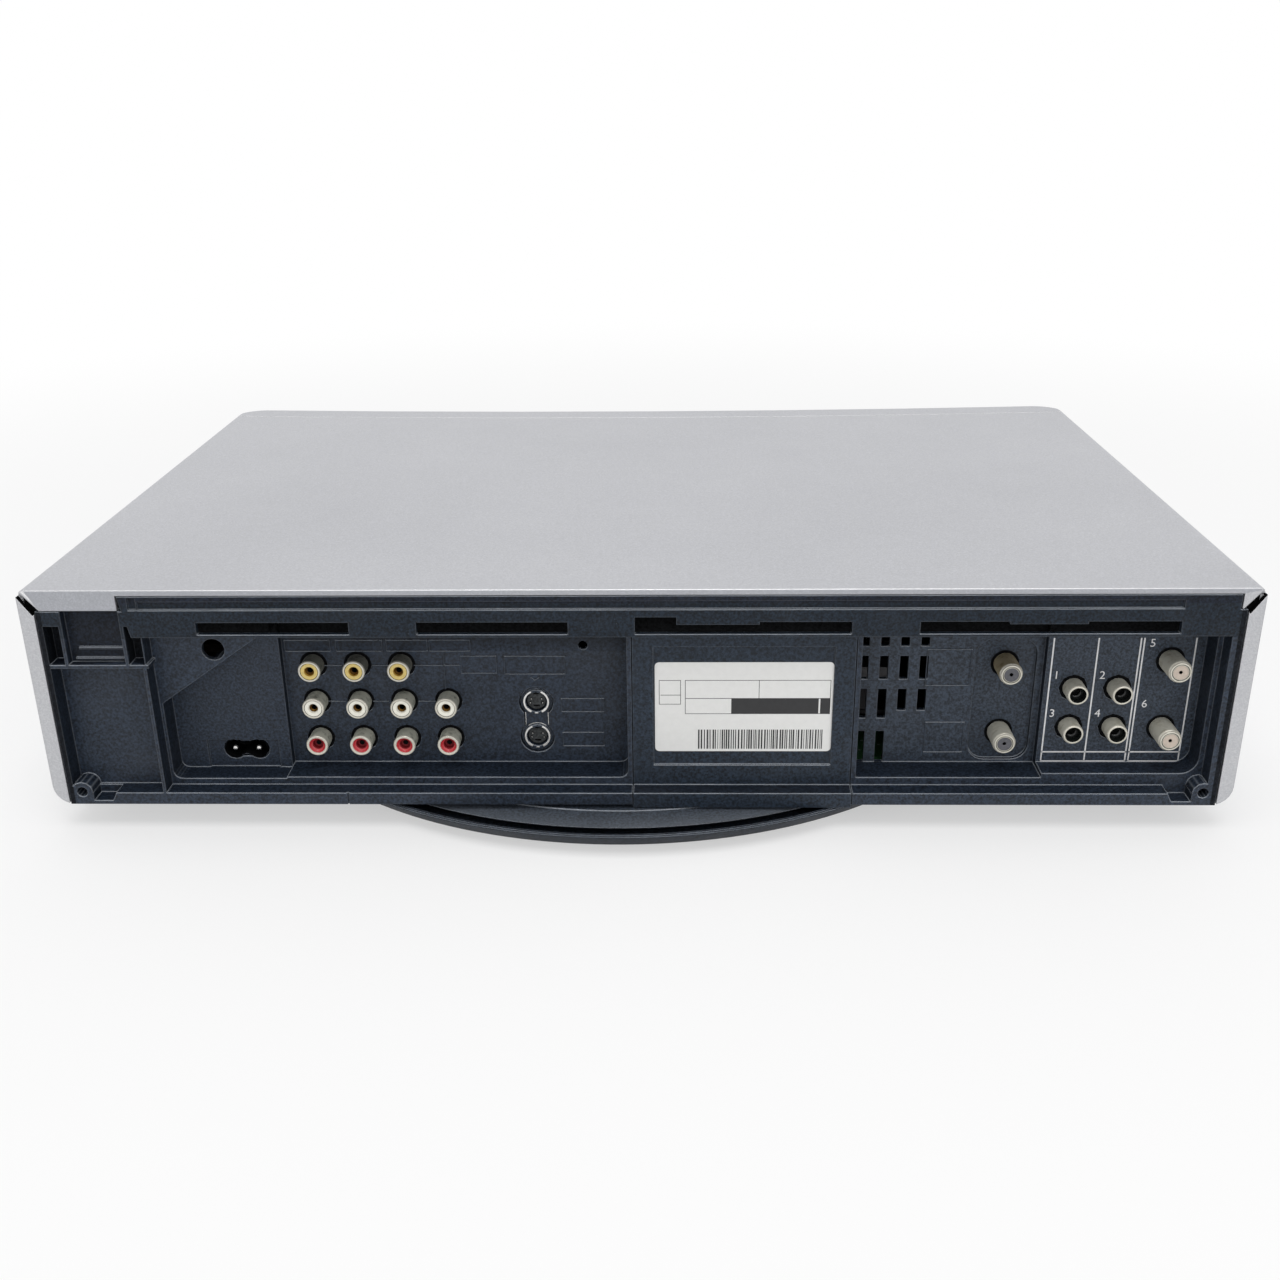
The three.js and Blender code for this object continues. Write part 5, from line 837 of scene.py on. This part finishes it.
# S-video sockets: parted shield rings, a grey face with a key slot and four pin holes; holes and key slot
# are near-black marks on the face, painted shade
def arc_band(bm, x, z, inner, outer, start, end, y0, y1):
    steps = max(4, int(abs(end - start) / 9))
    outside, inside = (arc(x, z, radius, start, end, steps) for radius in (outer, inner))
    slab(bm, outside + inside[::-1], y0, y1)


S_VIDEO_X = 37.65
S_VIDEO_ROWS = (32.43 + BODY_Z, 18.24 + BODY_Z)


def s_video_faces():
    bm = bmesh.new()
    x = S_VIDEO_X
    face = REAR_Y - 20.1
    for z in S_VIDEO_ROWS:
        turn_profile(bm, [(3.95, -6.0), (3.95, 0.72), (4.1, 0.86), (4.85, 0.86), (4.98, 0.72),
                          (4.98, -0.2)], (x, face, z), index=1)
        for inner, outer, start, end, proud in (
                (4.15, 4.78, -38, 66, 1.0), (4.15, 4.78, 114, 218, 1.0), (3.95, 4.78, -64, -38, 1.0),
                (3.95, 4.78, 218, 244, 1.0), (4.25, 4.65, 262, 278, 0.95)):
            arc_band(bm, x, z, inner, outer, start, end, face + 0.4, face + proud)
        turn_profile(bm, [(3.55, -6.9), (3.55, -0.5), (3.4, -0.35), (0.0, -0.35)], (x, face, z), sides=36,
                     index=2)
        for px, pz in ((-1.9, 0.85), (1.9, 0.85), (-2.3, -0.75), (2.3, -0.75)):
            turn_profile(bm, [(0.5, 0.0), (0.46, 0.05), (0.0, 0.05)], (x + px, face - 0.36, z + pz),
                         sides=14, index=3)
            turn_profile(bm, [(0.2, 0.0), (0.16, 0.09), (0.0, 0.09)],
                         (x + px, face - 0.36, z + pz - 0.14), sides=12, index=4)
        block(bm, x - 1.15, x + 1.15, face - 0.4, face - 0.3, z - 2.35, z - 1.65, 3)
        block(bm, x - 1.0, x + 1.0, face - 0.4, face - 0.3, z + 2.75, z + 3.5, 3)
    for rib in (x - 4.2, x + 4.2):
        block(bm, rib - 0.14, rib + 0.14, face - 0.3, face + 0.12, 22.8 + BODY_Z, 27.9 + BODY_Z)
    arc_band(bm, x, S_VIDEO_ROWS[1], 5.25, 5.45, 52, 128, face - 0.3, face + 0.2)
    finish_piece("s_video_faces", bm, [PIN, BLACK_PLATE, GREY_INSERT, BLACK_DEEP, PIN])


s_video_faces()


# Mains inlet: a dark well in a figure of eight, painted near-black as shade, with two plated pins whose
# sides are painted dark as shade
def mains_well():
    bm = bmesh.new()
    centre, height = 146.91, 14.62 + BODY_Z
    face = REAR_Y - 15.6
    outline = []
    for side, start, end in ((1, -142, 142), (-1, 38, 322)):
        outline += arc(centre + side * 4.45, height, 3.62, start, end, 24)
        outline.append((centre, height + side * 1.75))
    slab(bm, outline, face - 12.4, face - 12.0, 1)
    for (xa, za), (xb, zb) in zip(outline, outline[1:] + outline[:1]):
        corners = ((xa, face - 12.2, za), (xb, face - 12.2, zb), (xb, face - 0.4, zb), (xa, face - 0.4, za))
        bm.faces.new([bm.verts.new(corner) for corner in corners]).material_index = 1
    for side in (-1, 1):
        root = Vector((centre + side * 4.45, face - 12.2, height))
        turn_profile(bm, [(1.24, 0.0, 2), (1.24, 10.4, 2), (1.16, 10.9, 2), (0.8, 11.25, 2),
                          (0.55, 11.35, 0), (0.0, 11.4, 0)], root, sides=24)
    finish_piece("mains_well", bm, [PIN, BLACK_DEEP, PIN_PAINTED_SHADE])


mains_well()


# Rating label, left without words: ruled boxes, a solid field and plain bars
def rating_label():
    bm = bmesh.new()
    x0, x1, z0, z1 = -70.4, -6.5, 18.2 + BODY_Z, 53.6 + BODY_Z
    floor = REAR_Y - 7.4
    face = floor + 0.14
    slab(bm, rounded_outline(x0, x1, z0, z1, 1.6), floor - 0.02, face)
    top = face + 0.02

    # The layout counts steps to the right and down; the top left corner is at 85, 176
    def sides(left, up, right, down):
        step_x, step_z = 0.14860, 0.16542
        return (x1 - (right - 85) * step_x, x1 - (left - 85) * step_x,
                z1 - (down - 176) * step_z, z1 - (up - 176) * step_z)

    def ruled(*area):
        low_x, high_x, low_z, high_z = sides(*area)
        block(bm, low_x, high_x, face - 0.01, top, low_z, high_z, 1)

    line = 1.3
    for area in ((95, 218, 148, 276), (158, 218, 509, 299)):
        frame_lines(bm, *sides(*area), 0.2, face - 0.01, top, 1)
    ruled(99, 253, 148, 253 + line)
    ruled(158, 261, 509, 261 + line)
    ruled(336, 218, 336 + line, 261)
    ruled(270, 262, 481, 298)
    ruled(485, 262, 509, 298)
    rng = np.random.default_rng(7)
    left = 190.0
    while left < 495.0:
        wide = float(rng.choice([1.6, 2.6, 3.8]))
        ruled(left, 337, min(left + wide, 496), 384)
        left += wide + float(rng.choice([1.8, 2.8, 4.0]))
    finish_piece("rating_label", bm, [LABEL, INK])


rating_label()


# Printed lines and plain numbers beside the aerial and decoder sockets
def printed_number(bm, number, x, y, z):
    curve = bpy.data.curves.new("words", "FONT")
    curve.body = str(number)
    curve.size = 4.4
    curve.align_x = "CENTER"
    curve.align_y = "CENTER"
    curve.resolution_u = 3
    holder = new_object("words", curve)
    bpy.context.view_layer.update()
    mesh = bpy.data.meshes.new_from_object(holder)
    bpy.data.objects.remove(holder)
    bpy.data.curves.remove(curve)
    before = len(bm.verts)
    bm.from_mesh(mesh)
    bpy.data.meshes.remove(mesh)
    bm.verts.ensure_lookup_table()
    for vert in bm.verts[before:]:
        vert.co = (x - vert.co.x, y, z + vert.co.y)


def printed_panel():
    bm = bmesh.new()
    floor = REAR_Y - PRINT_DEPTH
    low, high = floor - 0.01, floor + 0.05
    for x in (-149.4, -165.3, -180.3, -181.5, -199.9):
        block(bm, x - 0.26, x + 0.26, low, high, 9.9 + BODY_Z, 59.3 + BODY_Z)
    for z in (9.9, 13.7):
        block(bm, -180.56, -149.14, low, high, z + BODY_Z - 0.26, z + BODY_Z + 0.26)
        block(bm, -200.16, -181.24, low, high, z + BODY_Z - 0.26, z + BODY_Z + 0.26)
    for number, (x, z) in enumerate(((-151.6, 44.6), (-168.1, 44.6), (-151.6, 29.4), (-168.1, 29.4),
                                     (-184.6, 57.2), (-184.6, 33.2)), 1):
        printed_number(bm, number, x, floor + 0.04, z + BODY_Z)
    finish_piece("printed_lines", bm, [WHITE_INK])


printed_panel()


# Fine moulded lines and empty label frames round the jacks
def moulded_lines():
    bm = bmesh.new()
    floor = REAR_Y - JACK_DEPTH
    low, high = floor - 0.2, floor + 0.28
    wide = 0.34
    frames = ((51.5, 64.7, 44.2, 51.35), (26.3, 48.8, 43.8, 51.3), (12.3, 28.5, 28.5, 34.2),
              (12.6, 28.2, 14.3, 20.3), (-121.4, -105.1, 39.1, 53.7), (-120.8, -106.3, 11.8, 24.5),
              (112.0, 129.0, 53.0, 57.7), (92.9, 110.2, 53.0, 57.7), (76.4, 91.6, 53.0, 57.7),
              (60.7, 76.0, 53.0, 57.7))
    for x0, x1, z0, z1 in frames:
        frame_lines(bm, x0, x1, z0 + BODY_Z, z1 + BODY_Z, wide, low, high)
    for x0, x1, z in ((108.5, 115.2, 47.5), (91.2, 97.4, 47.5), (65.0, 82.0, 47.5),
                      (108.4, 115.1, 33.0), (92.3, 98.3, 33.0), (74.8, 81.5, 33.0)):
        block(bm, x0, x1, low, high, z + BODY_Z - wide / 2, z + BODY_Z + wide / 2)
    block(bm, 70.7, 70.7 + wide, low, high, 37.9 + BODY_Z, 53.1 + BODY_Z)
    for side in (-1, 1):
        slab(bm, [(37.7 - side * 0.1, 41.5 + BODY_Z), (37.7 + side * 1.4, 42.7 + BODY_Z),
                  (37.7 + side * 1.7, 42.5 + BODY_Z), (37.7 + side * 0.1, 41.2 + BODY_Z)], low, high)
    finish_piece("moulded_lines", bm, [BLACK])


moulded_lines()


# Fronts are curved, so a sign takes its place from the surface below it.
def surface(node):
    data = nodes[node].data
    points = [v.co / MM for v in data.vertices]
    return BVHTree.FromPolygons(points, [list(p.vertices) for p in data.polygons])


def front_slab(bm, tree, outline, proud=0.06, sunk=0.4):
    before = len(bm.verts)
    slab(bm, outline, 0.0, 1.0)
    bm.verts.ensure_lookup_table()
    for vert in bm.verts[before:]:
        hit = tree.ray_cast(Vector((vert.co.x, -300.0, vert.co.z)), Vector((0, 1, 0)))[0]
        vert.co.y = hit.y + (sunk if vert.co.y > 0.5 else -proud)


# Button marks: plain signs for what each key does
def sign_outline(kind, x, z, size):
    r = size / 2
    if kind == "play":
        return [[(x - r * 0.8, z - r), (x + r, z), (x - r * 0.8, z + r)]]
    if kind == "stop":
        return [box(x - r, x + r, z - r, z + r)]
    if kind == "record":
        return [arc(x, z, r, 0, 360, 24)[:-1]]
    if kind == "eject":
        arrow = [(x - r, z - r * 0.25), (x + r, z - r * 0.25), (x, z + r)]
        return [box(x - r, x + r, z - r, z - r * 0.55), arrow]
    turn = 1 if kind == "fast_forward" else -1
    first = [(x - turn * r, z - r * 0.8), (x, z), (x - turn * r, z + r * 0.8)]
    second = [(x, z - r * 0.8), (x + turn * r, z), (x, z + r * 0.8)]
    return [first[::turn], second[::turn]]


def button_sign(kind, x, z, size):
    bm = bmesh.new()
    tree = surface(kind + "_button")
    if kind == "power":
        rim, hollow = (arc(x, z, radius, 125, 415, 28) for radius in (size / 2, size / 2 - 0.42))
        front_slab(bm, tree, rim + hollow[::-1])
        front_slab(bm, tree, box(x - 0.21, x + 0.21, z + size * 0.08, z + size * 0.62))
    else:
        for outline in sign_outline(kind, x, z, size):
            front_slab(bm, tree, outline)
    finish_piece(kind + "_sign", bm, [INK], body=kind + "_button")


# Display: seven-segment figures and two level bars behind the smoked window
SEGMENTS = {"0": "abcdef", "1": "bc", "2": "abged"}
DISPLAY_Z = 73.8


def display_figures():
    bm = bmesh.new()
    tree = surface("display_window")

    def bar(x0, x1, z0, z1, lean=0.0):
        outline = [(x + lean * z, z + DISPLAY_Z) for x, z in box(x0, x1, z0, z1)]
        front_slab(bm, tree, outline, 0.03, 0.2)

    def figure(sign, x, wide, tall, line):
        half = tall / 2
        spans = {"a": (x, x + wide, half - line, half), "d": (x, x + wide, -half, line - half),
                 "g": (x, x + wide, -line / 2, line / 2), "f": (x, x + line, line * 0.7, half - line * 1.2),
                 "e": (x, x + line, line * 1.2 - half, -line * 0.7),
                 "b": (x + wide - line, x + wide, line * 0.7, half - line * 1.2),
                 "c": (x + wide - line, x + wide, line * 1.2 - half, -line * 0.7)}
        for name in SEGMENTS[sign]:
            bar(*spans[name], lean=0.1)

    for sign, x in (("1", -186.0), ("2", -178.6), ("0", -167.6), ("0", -160.2)):
        figure(sign, x, 5.4, 10.5, 1.05)
    for z in (-2.2, 2.2):
        bar(-170.9, -169.8, z - 0.55, z + 0.55, 0.1)
    for row, lit in ((3.4, 11), (-3.4, 9)):
        for number in range(15):
            x = -146.0 + number * 2.5
            half = 1.3 if number < lit else 0.2
            bar(x, x + 1.7, row - half, row + half)
    finish_piece("display_figures", bm, [GLOW])


display_figures()


# Front jacks behind the door: pale rims round yellow, cream and red cups, with groove and hole painted
# near-black as shade
def front_jacks():
    bm = bmesh.new()
    for x, index in ((-22.0, CUP_YELLOW), (0.0, CUP_CREAM), (22.0, CUP_RED)):
        profile = [(4.22, -0.2, 0), (4.22, 4.6, 0), (4.1, 5.0, 4), (3.9, 5.06, 4), (3.3, 5.06, 4),
                   (3.2, 5.02, 5), (3.1, 5.02), (3.0, 5.05), (2.0, 5.04), (1.72, 5.02), (1.66, 4.6, 5),
                   (1.6, 1.0, 5), (0.0, 1.0, 5)]
        turn_profile(bm, profile, (x, -110.5, 35.35), (0, -1, 0), 36, index)
    finish_piece("front_jack_faces", bm, [DUSTY_NICKEL_PAINTED_SHADE, YELLOW, CREAM, RED, RIM, BLACK_DEEP])


front_jacks()


# Screws under the tray and the base, and the ring that keeps the base from sliding
def pan_screw(bm, x, y, z, radius):
    turn_profile(bm, [(radius, 0.3), (radius, -0.25), (radius * 0.86, -0.6), (radius * 0.5, -0.72),
                      (0.0, -0.76)], (x, y, z), UPWARD, 28)
    for wide, deep in ((radius * 0.5, 0.32), (0.32, radius * 0.5)):
        block(bm, x - wide, x + wide, y - deep, y + deep, z - 0.78, z - 0.4, 1)


def underside():
    bm = bmesh.new()
    for x in (-201.0, 201.0):
        for y in (-98.0, 20.0, 124.0):
            pan_screw(bm, x, y, 10.0, 2.9)
    finish_piece("tray_screws", bm, [CHROME, BLACK_DEEP], angle=30.0)
    bm = bmesh.new()
    for x, y in arc(SWIVEL[0], SWIVEL[1], 24.0, 90, 330, 2):
        pan_screw(bm, x, y, 1.1, 2.9)
    finish_piece("base_screws", bm, [CHROME, BLACK_DEEP], body="base", angle=30.0)
    bm = bmesh.new()
    turn_profile(bm, [(137.5, 1.05), (137.5, 0.2), (137.8, 0.02), (147.2, 0.02), (147.5, 0.2),
                      (147.5, 1.05), (137.5, 1.05)], SWIVEL, UPWARD, 180)
    finish_piece("slip_ring", bm, [RUBBER], ["anti_slip_ring"], "base", 30.0)


underside()


# World, lamps, floor and camera
def make_world():
    world = bpy.data.worlds.new("studio")
    bpy.context.scene.world = world
    g = Graph(world, "World")
    soft, clear = (g.add("ShaderNodeBackground", {"Color": (1.0, 1.0, 1.0, 1.0), "Strength": strength})
                   for strength in (0.62, 1.0))
    g.blend(g.seen_share(), soft, clear)


def area_lamp(name, place, target, size, power):
    data = bpy.data.lights.new(name, "AREA")
    data.shape = "SQUARE"
    data.size = size
    data.energy = power
    lamp = new_object(name, data)
    lamp.location = place
    lamp.rotation_euler = (Vector(target) - Vector(place)).to_track_quat("-Z", "Y").to_euler()


def make_floor():
    mesh = bpy.data.meshes.new("studio_floor")
    bm = bmesh.new()
    bmesh.ops.create_grid(bm, x_segments=4, y_segments=4, size=9.0)
    bm.to_mesh(mesh)
    bm.free()
    g = Graph("studio_floor")
    distance = g.add("ShaderNodeVectorMath", {0: g.place}, operation="LENGTH").outputs["Value"]
    away = g.spread(distance, 0.5, 1.0, 0.3, 1.0, "SMOOTHSTEP")
    tone = g.mix(g.noise(3.0), (0.88, 0.88, 0.88), (0.90, 0.90, 0.90))
    pale = g.add("ShaderNodeBsdfDiffuse", {"Color": tone})
    g.blend(g.maths("MULTIPLY", g.seen_share(), away), pale, g.add("ShaderNodeEmission"))
    mesh.materials.append(g.owner)
    new_object("studio_floor", mesh)


for key, place_and_size in KEYS.items():
    button_sign(key, *place_and_size)

make_world()
area_lamp("overhead", (0.1, 0.35, 1.9), (0, 0.05, 0.05), 1.5, 14.5)
area_lamp("rear_edge", (0.0, 0.95, 1.9), (0, 0.14, 0.05), 0.5, 2.4)
area_lamp("rear_fill", (-0.9, 1.7, 0.9), (0, 0.1, 0.05), 1.3, 6.5)
make_floor()
make_camera()
bpy.context.scene.view_settings.view_transform = "Standard"
